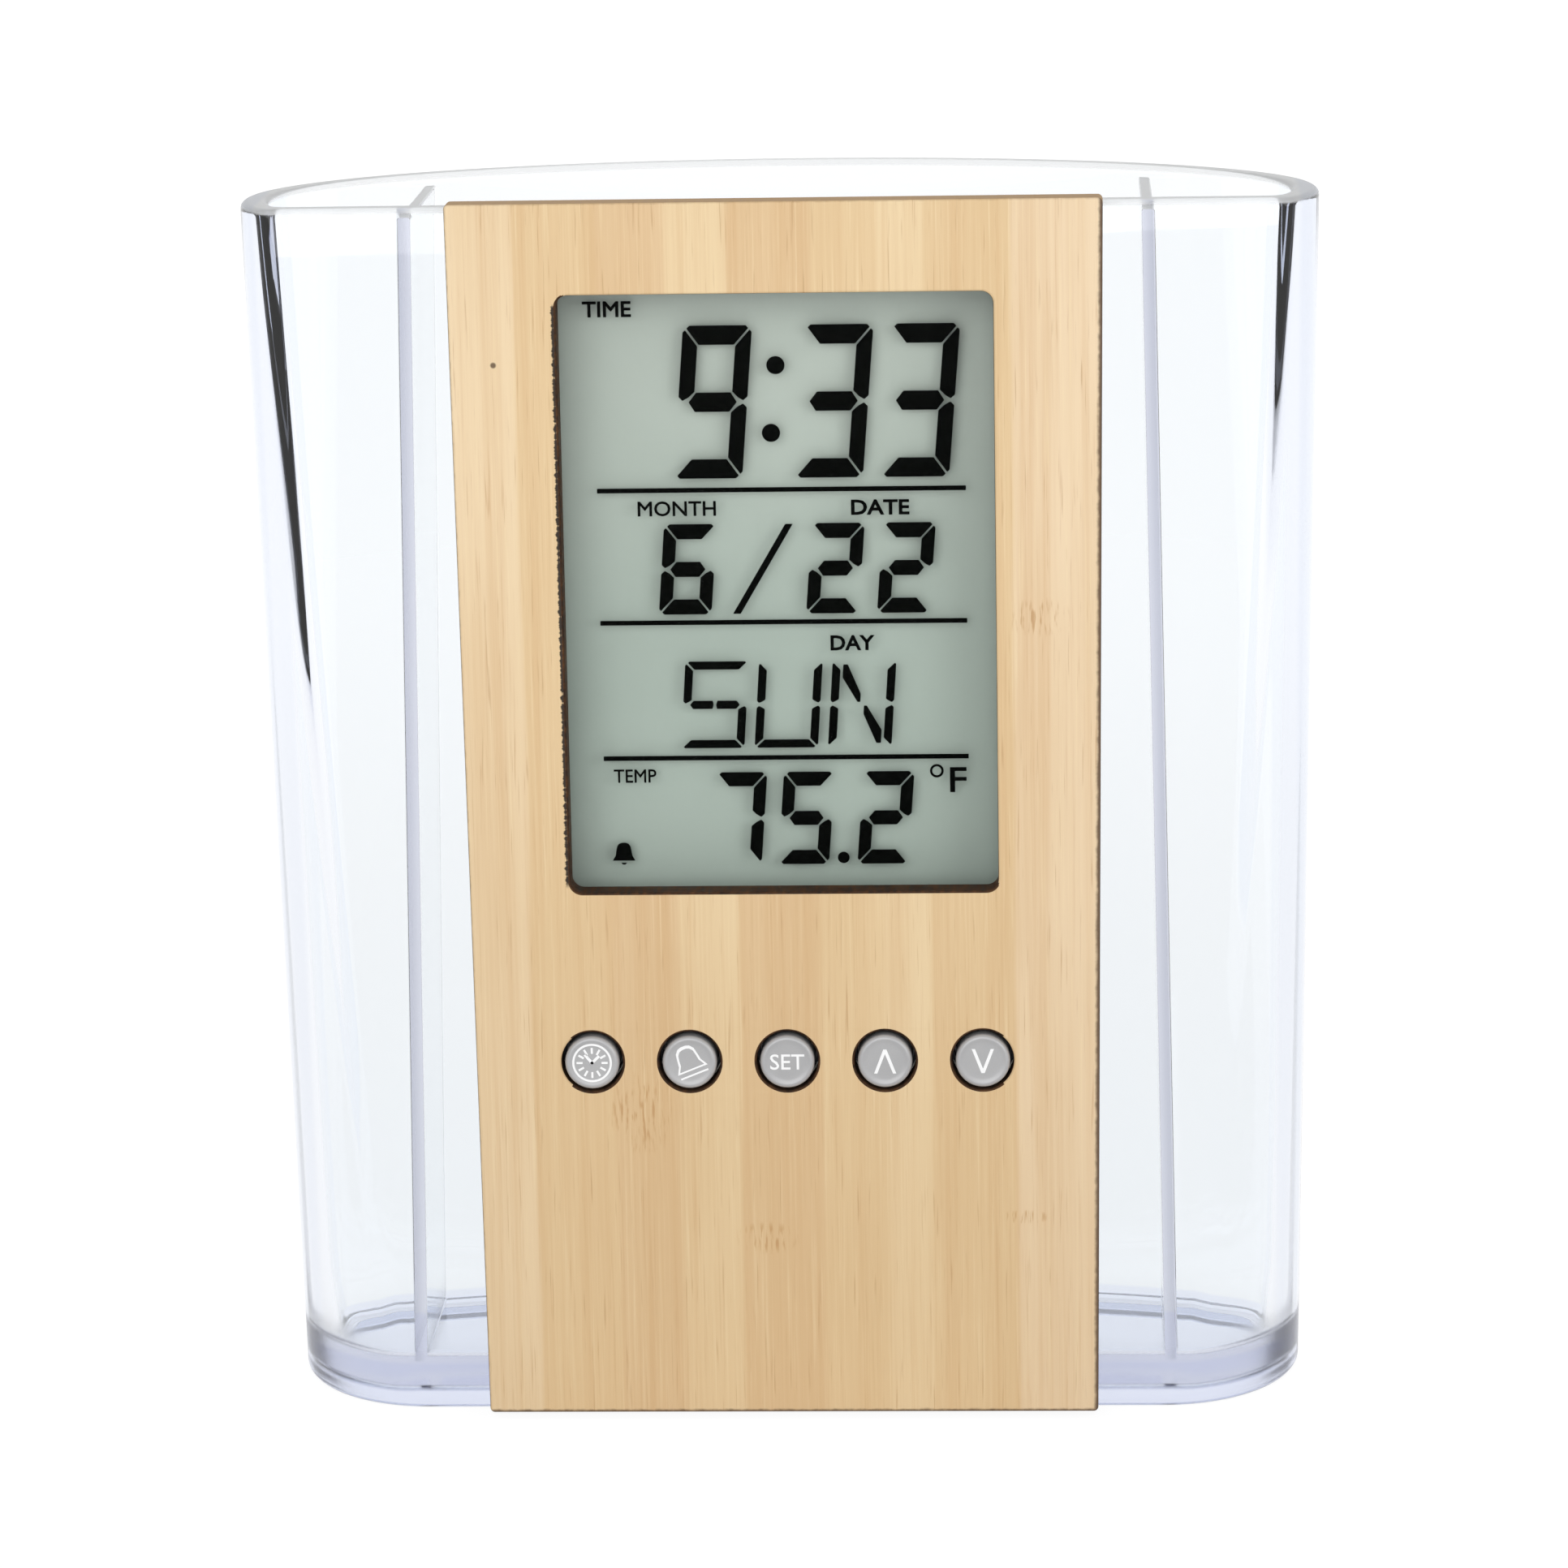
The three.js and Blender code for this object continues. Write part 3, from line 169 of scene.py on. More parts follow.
class Surface:
    """A material on a Principled shader, with short calls for the nodes that feed it."""

    def __init__(self, name, **fixed):
        self.material = bpy.data.materials.new(name)
        self.material.use_nodes = True
        self.tree = self.material.node_tree
        self.shader = self.tree.nodes["Principled BSDF"]
        self.output = self.tree.nodes["Material Output"]
        coordinates = self.tree.nodes.new("ShaderNodeTexCoord")
        self.place = coordinates.outputs["Object"]
        self.facing = coordinates.outputs["Normal"]
        for socket, value in fixed.items():
            self.shader.inputs[socket.replace("_", " ")].default_value = value

    def add(self, kind, inputs, **settings):
        return add_node(self.tree, kind, inputs, **settings)

    def feed(self, source, socket):
        self.tree.links.new(source, self.shader.inputs[socket])

    def stretch(self, factors):
        """The piece's own coordinates, in millimetres times a factor for each axis."""
        scale = [factor / MM for factor in factors]
        return self.add("ShaderNodeMapping", {"Vector": self.place, "Scale": scale}).outputs["Vector"]

    def axes(self, vector):
        return self.add("ShaderNodeSeparateXYZ", {0: vector}).outputs

    def millimetres(self):
        """The piece's own x, y and z."""
        return self.axes(self.stretch((1.0, 1.0, 1.0)))

    def noise(self, factors, detail=3.0, roughness=0.55):
        """Noise about a millimetre wide, divided by a factor for each axis."""
        inputs = {"Vector": self.stretch(factors), "Scale": 1.0, "Detail": detail, "Roughness": roughness}
        return self.add("ShaderNodeTexNoise", inputs).outputs["Fac"]

    def math(self, operation, first, second=0.0):
        return self.add("ShaderNodeMath", {0: first, 1: second}, operation=operation).outputs[0]

    def plus(self, first, second):
        return self.math("ADD", first, second)

    def minus(self, first, second):
        return self.math("SUBTRACT", first, second)

    def times(self, first, second):
        return self.math("MULTIPLY", first, second)

    def squared_length(self, across, upward):
        return self.plus(self.times(across, across), self.times(upward, upward))

    def fade(self, value, low, high, at_low=0.0, at_high=1.0):
        """A smooth step of a value from one level to another, held at both ends."""
        inputs = {"Value": value, "From Min": low, "From Max": high, "To Min": at_low, "To Max": at_high}
        return self.add("ShaderNodeMapRange", inputs, interpolation_type="SMOOTHSTEP").outputs["Result"]

    def mix(self, factor, first, second):
        return self.add("ShaderNodeMix", {0: factor, 6: first, 7: second}, data_type="RGBA").outputs[2]

    def strips(self, value, levels, blur):
        """Grey levels that start at places from 0 to 1, with a short blend at each change."""
        node = self.add("ShaderNodeValToRGB", {"Fac": value})
        ramp = node.color_ramp
        stops = [levels[0]]
        for (_, before), (place, after) in zip(levels, levels[1:]):
            stops += [(place - blur, before), (place + blur, after)]
        while len(ramp.elements) < len(stops):
            ramp.elements.new(1.0)
        for element, (place, level) in zip(ramp.elements, stops):
            element.position = place
            element.color = (level, level, level, 1.0)
        return node.outputs["Color"]

    def bump(self, height, strength, depth):
        """Feeds the normal from a height, with the depth in millimetres."""
        inputs = {"Strength": strength, "Distance": depth * MM, "Height": height}
        self.feed(self.add("ShaderNodeBump", inputs).outputs["Normal"], "Normal")


def moulded(name, dark, pale, rough_low, rough_high, grain=6.0, depth=0.012, **fixed):
    """A plastic, rubber or painted surface: mottled colour, fine moulded grain, uneven gloss."""
    surface = Surface(name, **fixed)
    broad = surface.noise((0.12, 0.12, 0.12), detail=4.0)
    fine = surface.noise((grain, grain, grain), detail=2.0)
    tone = surface.mix(0.35, broad, fine)
    surface.feed(surface.mix(tone, dark, pale), "Base Color")
    surface.feed(surface.fade(tone, 0.25, 0.75, rough_low, rough_high), "Roughness")
    surface.bump(fine, 0.5, depth)
    return surface.material


def clear_plastic():
    """Clear moulding: dulled by use along its rim and foot, tinted by its thickness and height, and painted
    with shade at its ends, its foot and its divider roots.
    """
    surface = Surface("clear_plastic", IOR=1.5, Transmission_Weight=1.0)
    x, y, z = surface.millimetres()
    upward = surface.axes(surface.facing)[2]
    raised = surface.fade(z, DIVIDER_TOP_Z - 0.4, DIVIDER_TOP_Z - 0.1)
    rubbed = surface.times(raised, surface.fade(upward, 0.15, 0.6))
    surface.feed(surface.fade(rubbed, 0.0, 1.0, 1.0, RIM_CLEARNESS), "Transmission Weight")

    haze = surface.noise((0.05, 0.05, 0.02), detail=5.0)
    polish = surface.fade(haze, 0.4, 0.75, 0.0, HAZE_ROUGHNESS)
    lowered = surface.fade(z, SCUFF_LOW_Z, SCUFF_HIGH_Z, SCUFF_ROUGHNESS, 0.0)
    scuffed = surface.times(lowered, surface.fade(upward, 0.5, 0.9, 1.0, 0.0))
    dulled = surface.plus(surface.times(rubbed, RIM_ROUGHNESS), scuffed)
    surface.feed(surface.plus(polish, dulled), "Roughness")

    outward = surface.math("ABSOLUTE", x)
    high = surface.fade(z, FLOOR_TOP_Z + 0.5, CUP_HEIGHT / 2)
    # Painted shade: the cup's ends are tinted darker and greyer, standing in for the dark edges that
    # refraction gives there.
    end_shade = surface.fade(outward, END_SHADE_TINT_X, END_SHADE_TINT_X + END_SHADE_TINT_BLEND)
    # The foot band below the floor is painted darker and bluer: partly painted contact shade, partly the
    # thick base's own tone.
    above_foot = surface.fade(z, FLOOR_TOP_Z - FOOT_SHADE_TINT_BLEND, FLOOR_TOP_Z + FOOT_SHADE_TINT_BLEND)
    tint = surface.mix(high, LOW_TINT, CLEAR_TINT)
    tint = surface.mix(end_shade, tint, END_SHADE_TINT)
    tint = surface.mix(above_foot, FOOT_SHADE_TINT, tint)

    # Painted shade: a soft grey line on the front wall along the root of each divider.
    taper = (DIVIDER_TOP_X - DIVIDER_FOOT_X) / DIVIDER_TOP_Z
    root = surface.plus(surface.times(z, taper), DIVIDER_FOOT_X)
    inward = surface.minus(root, outward)
    start = surface.fade(inward, 0.0, DIVIDER_SHADE_EDGE)
    end = surface.fade(inward, DIVIDER_SHADE_EDGE, DIVIDER_SHADE_WIDTH, 1.0, 0.0)
    front_y = FRONT_Y + CUP_FRONT_Y
    on_front = surface.fade(y, front_y + 0.2, front_y + 0.6, 1.0, 0.0)
    above_floor = surface.fade(z, FLOOR_TOP_Z, FLOOR_TOP_Z + 0.4)
    divider_shade = surface.times(surface.times(start, end), surface.times(on_front, above_floor))
    surface.feed(surface.mix(divider_shade, tint, DIVIDER_SHADE_TINT), "Base Color")

    flow = surface.noise((0.03, 0.03, 0.008), detail=1.0)
    surface.bump(flow, 0.06, 0.5)
    absorption = {"Color": ABSORPTION_TINT, "Density": ABSORPTION_DENSITY}
    volume = surface.add("ShaderNodeVolumeAbsorption", absorption)
    surface.tree.links.new(volume.outputs["Volume"], surface.output.inputs["Volume"])
    return surface.material


# Strips of the bamboo board: where each starts across the plate in millimetres, how tan and how rosy it is
BAMBOO_STRIPS = (
    (-26.95, 0.2, 0.55),
    (-21.4, 0.7, 0.1),
    (-14.6, 1.0, 0.45),
    (-8.9, 0.35, 0.0),
    (-3.9, 1.0, 0.4),
    (3.0, 0.6, 0.05),
    (8.5, 0.2, 0.0),
    (12.2, 0.62, 0.1),
    (19.4, 0.12, 1.0),
)
BAMBOO_STRIP_BLUR = 0.18
BAMBOO_STRIP_SWAY = 0.9
# Culm nodes in the board: centre x, centre z, half width, half height in millimetres
BAMBOO_NODES = (
    (21.5, 69.8, 3.0, 1.8),
    (-12.5, 27.4, 3.2, 4.6),
    (-2.0, 16.2, 3.0, 1.6),
    (20.0, 18.0, 2.4, 0.7),
)
BAMBOO_SPECK = (-23.2, 91.3)
ARRIS_DARK_COLOUR = linear(74, 50, 33)


def bamboo():
    surface = Surface("bamboo_board", Specular_IOR_Level=0.35)
    x, _, z = surface.millimetres()
    half = PLATE_HALF_TOP
    sway = surface.noise((0.1, 1.0, 0.03), detail=2.0)
    swayed = surface.plus(x, surface.times(sway, BAMBOO_STRIP_SWAY))
    across = surface.math("DIVIDE", surface.plus(swayed, half - BAMBOO_STRIP_SWAY / 2), 2 * half)
    blur = BAMBOO_STRIP_BLUR / (2 * half)
    starts, tans, roses = zip(*BAMBOO_STRIPS)
    places = [(start + half) / (2 * half) for start in starts]
    tan = surface.strips(across, list(zip(places, tans)), blur)
    rosy = surface.strips(across, list(zip(places, roses)), blur)
    streak = surface.noise((0.7, 1.0, 0.01), detail=4.0, roughness=0.6)
    cloud = surface.noise((0.09, 1.0, 0.02))
    fibre = surface.noise((3.4, 1.0, 0.05), roughness=0.65)
    fleck = surface.noise((4.6, 1.0, 0.13), detail=2.0)
    body = surface.mix(tan, linear(237, 215, 175), linear(217, 185, 138))
    body = surface.mix(surface.times(rosy, 0.5), body, linear(232, 207, 178))

    # Layers over that: what each follows, from where to where, its weight at both ends, its colour
    for pattern, low, high, at_low, at_high, colour in (
        (cloud, 0.35, 0.7, 0.0, 0.3, linear(206, 172, 124)),
        (streak, 0.4, 0.72, 0.0, 0.38, linear(204, 164, 116)),
        (fibre, 0.5, 0.8, 0.0, 0.45, linear(243, 224, 184)),
        (fibre, 0.24, 0.46, 0.3, 0.0, linear(190, 148, 100)),
        (fleck, 0.6, 0.76, 0.0, 0.45, linear(168, 122, 74)),
        # The last layer is painted shade: the board grows darker towards its foot, where less light falls.
        (z, 5.0, 85.0, 0.24, 0.0, linear(186, 156, 114)),
    ):
        body = surface.mix(surface.fade(pattern, low, high, at_low, at_high), body, colour)

    for centre_x, centre_z, half_width, half_height in BAMBOO_NODES:
        off_x = surface.math("DIVIDE", surface.minus(x, centre_x), half_width)
        off_z = surface.math("DIVIDE", surface.minus(z, centre_z), half_height)
        near = surface.fade(surface.squared_length(off_x, off_z), 0.1, 1.0, 1.0, 0.0)
        wisp = surface.noise((3.4, 1.0, 0.42), detail=2.0)
        mark = surface.times(near, surface.fade(wisp, 0.5, 0.66))
        body = surface.mix(surface.times(mark, 0.6), body, linear(176, 128, 74))

    speck = surface.squared_length(surface.minus(x, BAMBOO_SPECK[0]), surface.minus(z, BAMBOO_SPECK[1]))
    body = surface.mix(surface.fade(speck, 0.02, 0.09, 0.85, 0.0), body, linear(70, 44, 24))

    # The arrises are painted darker, the right and foot edges more than the others.
    from_foot = surface.minus(z, PLATE_FOOT_Z)
    rise = surface.math("DIVIDE", from_foot, PLATE_TOP_Z - PLATE_FOOT_Z)
    edge_x = surface.plus(surface.times(rise, PLATE_HALF_TOP - PLATE_HALF_FOOT), PLATE_HALF_FOOT)
    ragged = surface.times(surface.noise((1.2, 1.0, 1.2)), 0.3)
    for distance, reach, weight in (
        (surface.minus(edge_x, x), 0.62, 0.9),
        (from_foot, 0.55, 0.9),
        (surface.minus(PLATE_TOP_Z, z), 0.34, 0.2),
        (surface.plus(edge_x, x), 0.32, 0.4),
    ):
        arris_dark = surface.fade(surface.plus(distance, ragged), reach * 0.45, reach, weight, 0.0)
        body = surface.mix(arris_dark, body, ARRIS_DARK_COLOUR)

    # Teeth that the cut left along the window's left side
    teeth = surface.times(surface.noise((0.6, 1.0, 2.6), detail=2.0), 0.55)
    from_cut = surface.math("ABSOLUTE", surface.plus(x, WINDOW_HALF_WIDTH + PLATE_EDGE))
    beside = surface.fade(surface.plus(from_cut, teeth), 0.34, 0.46, 1.0, 0.0)
    above_foot = surface.fade(z, WINDOW_FOOT_Z + 0.3, WINDOW_FOOT_Z + 1.0)
    below_top = surface.fade(z, WINDOW_TOP_Z - 1.0, WINDOW_TOP_Z - 0.6, 1.0, 0.0)
    charred = surface.times(beside, surface.times(above_foot, below_top))
    body = surface.mix(charred, body, linear(40, 28, 16))
    surface.feed(body, "Base Color")
    surface.feed(surface.fade(fibre, 0.3, 0.7, 0.46, 0.62), "Roughness")
    surface.bump(surface.mix(0.5, fibre, fleck), 0.35, 0.05)
    return surface.material


def scorched():
    """The cut walls of the bamboo, browned in ripples by the cutting beam, and less so along the top."""
    surface = Surface("bamboo_scorched", Specular_IOR_Level=0.25)
    ripple = surface.noise((2.5, 0.5, 2.5))
    layer = surface.noise((0.3, 4.0, 0.3), detail=2.0)
    tone = surface.mix(0.4, ripple, layer)
    char = surface.mix(surface.fade(tone, 0.3, 0.75), linear(36, 24, 16), linear(92, 62, 38))
    bare = surface.mix(tone, linear(150, 122, 92), linear(196, 168, 132))
    spared = surface.fade(surface.millimetres()[2], PLATE_TOP_Z - 0.6, PLATE_TOP_Z - 0.3)
    surface.feed(surface.mix(spared, char, bare), "Base Color")
    surface.feed(surface.fade(ripple, 0.3, 0.7, 0.7, 0.9), "Roughness")
    surface.bump(ripple, 0.5, 0.08)
    return surface.material


def brushed(name, dark, pale, rough_low, rough_high):
    """Bare metal with fine drawn lines."""
    surface = Surface(name, Metallic=1.0)
    lines = surface.noise((8.0, 8.0, 0.4))
    spots = surface.noise((0.6, 0.6, 0.6), detail=4.0)
    tone = surface.mix(0.5, lines, spots)
    surface.feed(surface.mix(tone, dark, pale), "Base Color")
    surface.feed(surface.fade(tone, 0.3, 0.7, rough_low, rough_high), "Roughness")
    surface.bump(lines, 0.25, 0.01)
    return surface.material


def display_layer(name, tint, veil, rough_low, rough_high):
    """A clear layer of the display: it lets the picture through and adds a thin veil of its own."""
    surface = Surface(name, Alpha=veil, IOR=1.5)
    grain = surface.noise((9.0, 9.0, 9.0), detail=2.0)
    surface.feed(surface.mix(grain, tint, linear(34, 40, 36)), "Base Color")
    surface.feed(surface.fade(grain, 0.3, 0.7, rough_low, rough_high), "Roughness")
    return surface.material


def display_reflector():
    """Grey-green backing sheet of the display, with painted light making it paler towards the top, and its
    fine metallic sand.
    """
    surface = Surface("display_reflector", Specular_IOR_Level=0.3)
    sand = surface.noise((11.0, 11.0, 11.0), detail=2.0)
    cloud = surface.noise((0.04, 0.04, 0.04), detail=2.0)
    tone = surface.mix(0.6, sand, cloud)
    low_shade = surface.mix(tone, linear(167, 184, 173), linear(196, 210, 199))
    high_shade = surface.mix(tone, linear(182, 195, 184), linear(209, 219, 209))
    # Painted light: the sheet is paler towards the top, as if more light fell there.
    painted_top_light = surface.fade(surface.millimetres()[2], WINDOW_FOOT_Z + 14.0, WINDOW_TOP_Z)
    surface.feed(surface.mix(painted_top_light, low_shade, high_shade), "Base Color")
    surface.feed(surface.fade(sand, 0.3, 0.7, 0.4, 0.6), "Roughness")
    surface.bump(sand, 0.2, 0.01)
    return surface.material


def circuit_board():
    """Green solder mask over copper tracks."""
    surface = Surface("board_green", Specular_IOR_Level=0.5)
    wander = surface.noise((0.25, 0.25, 0.25), detail=1.0)
    rows = surface.times(surface.millimetres()[2], 0.7)
    lane = surface.math("FRACT", surface.plus(rows, surface.times(wander, 4.0)))
    track = surface.math("GREATER_THAN", lane, 0.62)
    cloth = surface.noise((2.0, 2.0, 2.0))
    mask = surface.mix(cloth, linear(28, 92, 56), linear(44, 118, 72))
    surface.feed(surface.mix(surface.times(track, 0.5), mask, linear(70, 146, 88)), "Base Color")
    surface.feed(surface.fade(cloth, 0.3, 0.7, 0.3, 0.45), "Roughness")
    surface.bump(lane, 0.15, 0.03)
    return surface.material


CLEAR = clear_plastic()
BAMBOO = bamboo()
SCORCHED = scorched()
BLACK = moulded("black_plastic", linear(24, 25, 28), linear(42, 43, 46), 0.42, 0.6)
WHITE = moulded(
    "white_print", linear(236, 237, 238), linear(252, 252, 252), 0.4, 0.55, grain=9.0, depth=0.004
)
SILVER = moulded(
    "silver_paint", linear(154, 154, 155), linear(182, 182, 183), 0.28, 0.42,
    grain=14.0, depth=0.004, Metallic=0.25,
)
ADHESIVE = moulded("adhesive_sheet", linear(226, 222, 212), linear(244, 241, 233), 0.5, 0.7, grain=1.5)
RUBBER = moulded("conductive_rubber", linear(196, 190, 180), linear(222, 216, 206), 0.7, 0.85, grain=3.0)
SWITCH = moulded("switch_plastic", linear(222, 222, 216), linear(240, 240, 234), 0.4, 0.55)
RESIN = moulded("resin_drop", linear(16, 16, 17), linear(28, 28, 30), 0.18, 0.3, grain=2.0)
INK = moulded(
    "crystal_ink", linear(2, 3, 2), linear(5, 6, 5), 0.45, 0.6,
    grain=4.0, depth=0.002, Specular_IOR_Level=0.0,
)
RED_LEAD = moulded("red_insulation", linear(160, 24, 22), linear(190, 40, 34), 0.4, 0.55)
BLACK_LEAD = moulded("black_insulation", linear(20, 20, 22), linear(36, 36, 38), 0.4, 0.55)
STEEL = brushed("steel", linear(168, 170, 174), linear(206, 208, 212), 0.2, 0.36)
BRASS = brushed("brass", linear(182, 146, 70), linear(222, 188, 108), 0.24, 0.4)
FILM = display_layer("display_film", linear(20, 24, 22), 0.03, 0.3, 0.42)
GLASS = display_layer("display_glass", linear(20, 26, 23), 0.01, 0.05, 0.12)
REFLECTOR = display_reflector()
BOARD = circuit_board()


# Meshes and pieces

def new_mesh(name, points, faces):
    mesh = bpy.data.meshes.new(name)
    mesh.from_pydata([tuple(point) for point in points], [], faces)
    mesh.validate()
    form = bmesh.new()
    form.from_mesh(mesh)
    bmesh.ops.recalc_face_normals(form, faces=form.faces)
    form.to_mesh(mesh)
    form.free()
    return mesh


def add_object(name, data):
    piece = bpy.data.objects.new(name, data)
    bpy.context.scene.collection.objects.link(piece)
    return piece


def add_piece(name, mesh, materials, body=HOLDER, replaced=(), crease=30):
    """Puts a mesh drawn in millimetres on its body in the frame, shaded soft up to the crease angle."""
    mesh.transform(TO_FRAME)
    for material in materials:
        mesh.materials.append(material)
    mesh.shade_smooth()
    mesh.set_sharp_from_angle(angle=math.radians(crease))
    piece = add_object(name, mesh)
    evened = piece.modifiers.new("even_normals", "WEIGHTED_NORMAL")
    evened.keep_sharp = True
    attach(piece, body)
    if replaced:
        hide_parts(*replaced)


def band(start, count, step):
    """Faces from one ring of points to the next, whose points follow a step later."""
    faces = []
    for i in range(count):
        first = start + i
        second = start + (i + 1) % count
        faces.append((first, second, second + step, first + step))
    return faces


def loft(name, rings):
    """A closed skin over rings of equal point counts, with a flat face at each end."""
    count = len(rings[0])
    points = [point for ring in rings for point in ring]
    faces = []
    for r in range(len(rings) - 1):
        faces += band(r * count, count, count)
    last = (len(rings) - 1) * count
    faces.append(tuple(reversed(range(count))))
    faces.append(tuple(range(last, last + count)))
    return new_mesh(name, points, faces)


def stacked(name, levels):
    """A plate with holes: each level is a y and its loops of (x, z), outer one first, of equal counts."""
    points = []
    faces = []
    starts = []
    for y, loops in levels:
        starts.append(len(points))
        for loop in loops:
            points.extend((x, y, z) for x, z in loop)
    for level in range(len(levels) - 1):
        start = starts[level]
        step = starts[level + 1] - start
        for loop in levels[level][1]:
            faces += band(start, len(loop), step)
            start += len(loop)
    for level in (0, len(levels) - 1):
        loops = [[Vector((x, z, 0)) for x, z in loop] for loop in levels[level][1]]
        for triangle in tessellate_polygon(loops):
            faces.append(tuple(starts[level] + i for i in triangle))
    return new_mesh(name, points, faces)


def prism(loops, span):
    """Loops of (x, z), the outer one first, drawn out between two y places."""
    return stacked("prism", [(y, loops) for y in span])


def turned(name, profile, x, z, sides):
    """A profile of (radius, y), closed at the axis at both ends, turned about Y."""
    points = [(x, profile[0][1], z)]
    for radius, y in profile[1:-1]:
        points += [(u, y, v) for u, v in circle(x, z, radius, sides)]
    points.append((x, profile[-1][1], z))
    faces = []
    rings = len(profile) - 2
    for r in range(rings - 1):
        faces += band(1 + r * sides, sides, sides)
    top = 1 + (rings - 1) * sides
    for i in range(sides):
        after = (i + 1) % sides
        faces.append((0, 1 + i, 1 + after))
        faces.append((top + i, len(points) - 1, top + after))
    return new_mesh(name, points, faces)


def joined(name, meshes):
    """Several meshes as one."""
    form = bmesh.new()
    for mesh in meshes:
        form.from_mesh(mesh)
    whole = bpy.data.meshes.new(name)
    form.to_mesh(whole)
    form.free()
    return whole


def final_mesh(source):
    """An object's mesh with its modifiers applied."""
    view = bpy.context.evaluated_depsgraph_get()
    return bpy.data.meshes.new_from_object(source.evaluated_get(view))


def carved(name, mesh, tool_mesh):
    """One solid with another taken from it."""
    body = add_object(name + "_body", mesh)
    tool = add_object(name + "_tool", tool_mesh)
    cutter = body.modifiers.new("cut", "BOOLEAN")
    cutter.operation = "DIFFERENCE"
    cutter.solver = "EXACT"
    cutter.object = tool
    result = final_mesh(body)
    result.name = name
    bpy.data.objects.remove(body)
    bpy.data.objects.remove(tool)
    return result


def arc(x, z, radius, start, end, steps):
    """Points on an arc, angles in degrees, both ends included."""
    angles = [math.radians(lerp(start, end, i / steps)) for i in range(steps + 1)]
    return [(x + radius * math.cos(angle), z + radius * math.sin(angle)) for angle in angles]


def circle(x, z, radius, sides):
    angles = [2 * math.pi * i / sides for i in range(sides)]
    return [(x + radius * math.cos(angle), z + radius * math.sin(angle)) for angle in angles]


def tapered_box(half_foot, half_top, foot_z, top_z, radius, inset=0.0, steps=10):
    """An upright outline about x = 0 with round corners; a positive inset shrinks it."""
    foot_x = half_foot - radius
    top_x = half_top - radius
    low = foot_z + radius
    high = top_z - radius
    r = radius - inset
    return (
        arc(foot_x, low, r, -90, 0, steps)
        + arc(top_x, high, r, 0, 90, steps)
        + arc(-top_x, high, r, 90, 180, steps)
        + arc(-foot_x, low, r, 180, 270, steps)
    )


def rounded_box(half_width, foot_z, top_z, radius, inset=0.0):
    return tapered_box(half_width, half_width, foot_z, top_z, radius, inset)


# Clear cup

CUP_FRONT_STEPS = 24
CUP_CORNER_STEPS = 8
CUP_TURN_STEPS = 24
CUP_BACK_STEPS = 144
CUP_HEIGHT_STEPS = 16
EDGE_STEPS = 6


def cup_ring(z, inset):
    """The cup's outline at one height: flat front, sides curving out to the widest line, round back."""
    share = min(max(z / CUP_HEIGHT, 0.0), 1.0)
    half = lerp(CUP_HALF_FOOT, CUP_HALF_RIM, share) - inset
    front = CUP_FRONT_Y + inset
    widest = CUP_FRONT_Y + lerp(CUP_WIDEST_FOOT, CUP_WIDEST_RIM, share)
    reach = CUP_FRONT_Y + lerp(CUP_DEPTH_FOOT, CUP_DEPTH_RIM, share) - inset - widest
    turn_x = lerp(CUP_TURN_WIDTH_FOOT, CUP_TURN_WIDTH_RIM, share) - inset
    turn_y = lerp(CUP_TURN_DEPTH_FOOT, CUP_TURN_DEPTH_RIM, share) - inset

    def turn(angle):
        return Vector((half - turn_x + turn_x * math.sin(angle), widest - turn_y * math.cos(angle), z))

    start = math.acos(min((widest - front) / turn_y, 1.0))
    pace = math.hypot(turn_x * math.cos(start), turn_y * math.sin(start))
    first = start + CUP_CORNER / pace
    corner = turn(start)
    before = corner - Vector((CUP_CORNER, 0.0, 0.0))
    after = turn(first)
    right = []
    for i in range(CUP_CORNER_STEPS):
        along = i / CUP_CORNER_STEPS
        right.append(before.lerp(corner, along).lerp(corner.lerp(after, along), along))
    for i in range(CUP_TURN_STEPS):
        right.append(turn(lerp(first, math.pi / 2, i / CUP_TURN_STEPS)))
    back = []
    for i in range(CUP_BACK_STEPS + 1):
        angle = math.pi * i / CUP_BACK_STEPS
        back.append(Vector((half * math.cos(angle), widest + reach * math.sin(angle), z)))
    left = [Vector((-point.x, point.y, z)) for point in reversed(right)]
    face = [left[-1].lerp(right[0], i / CUP_FRONT_STEPS) for i in range(1, CUP_FRONT_STEPS)]
    return face + right + back + left


def edge_steps(radius):
    """A quarter round as pairs of rise and inset, from flush to full radius."""
    angles = [math.pi / 2 * i / EDGE_STEPS for i in range(EDGE_STEPS + 1)]
    return [(radius * math.sin(angle), radius * (1 - math.cos(angle))) for angle in angles]


def cup_heights(low, high):
    return [lerp(low, high, i / CUP_HEIGHT_STEPS) for i in range(1, CUP_HEIGHT_STEPS)]


def divider_outline(side, flare):
    """One divider from the front, eased at its top, filleted at the floor, each side out by the flare."""
    def outer(z):
        return lerp(DIVIDER_FOOT_X, DIVIDER_TOP_X, z / DIVIDER_TOP_Z)

    foot_z = FLOOR_TOP_Z - DIVIDER_SINK
    right = []
    left = []
    for rise, spread in reversed(edge_steps(DIVIDER_FILLET)):
        z = foot_z + DIVIDER_FILLET - rise
        right.append((outer(z) + spread + flare, z))
        left.append((outer(z) - DIVIDER_THICKNESS - spread - flare, z))
    r = DIVIDER_TOP_ROUND
    top_out = outer(DIVIDER_TOP_Z) + flare
    top_in = outer(DIVIDER_TOP_Z) - DIVIDER_THICKNESS - flare
    round_z = DIVIDER_TOP_Z - r
    top = arc(top_out - r, round_z, r, 0, 90, EDGE_STEPS) + arc(top_in + r, round_z, r, 90, 180, EDGE_STEPS)
    outline = [(right[0][0], 0.0)] + right + top + left[::-1] + [(left[0][0], 0.0)]
    return [(side * x, z) for x, z in outline]


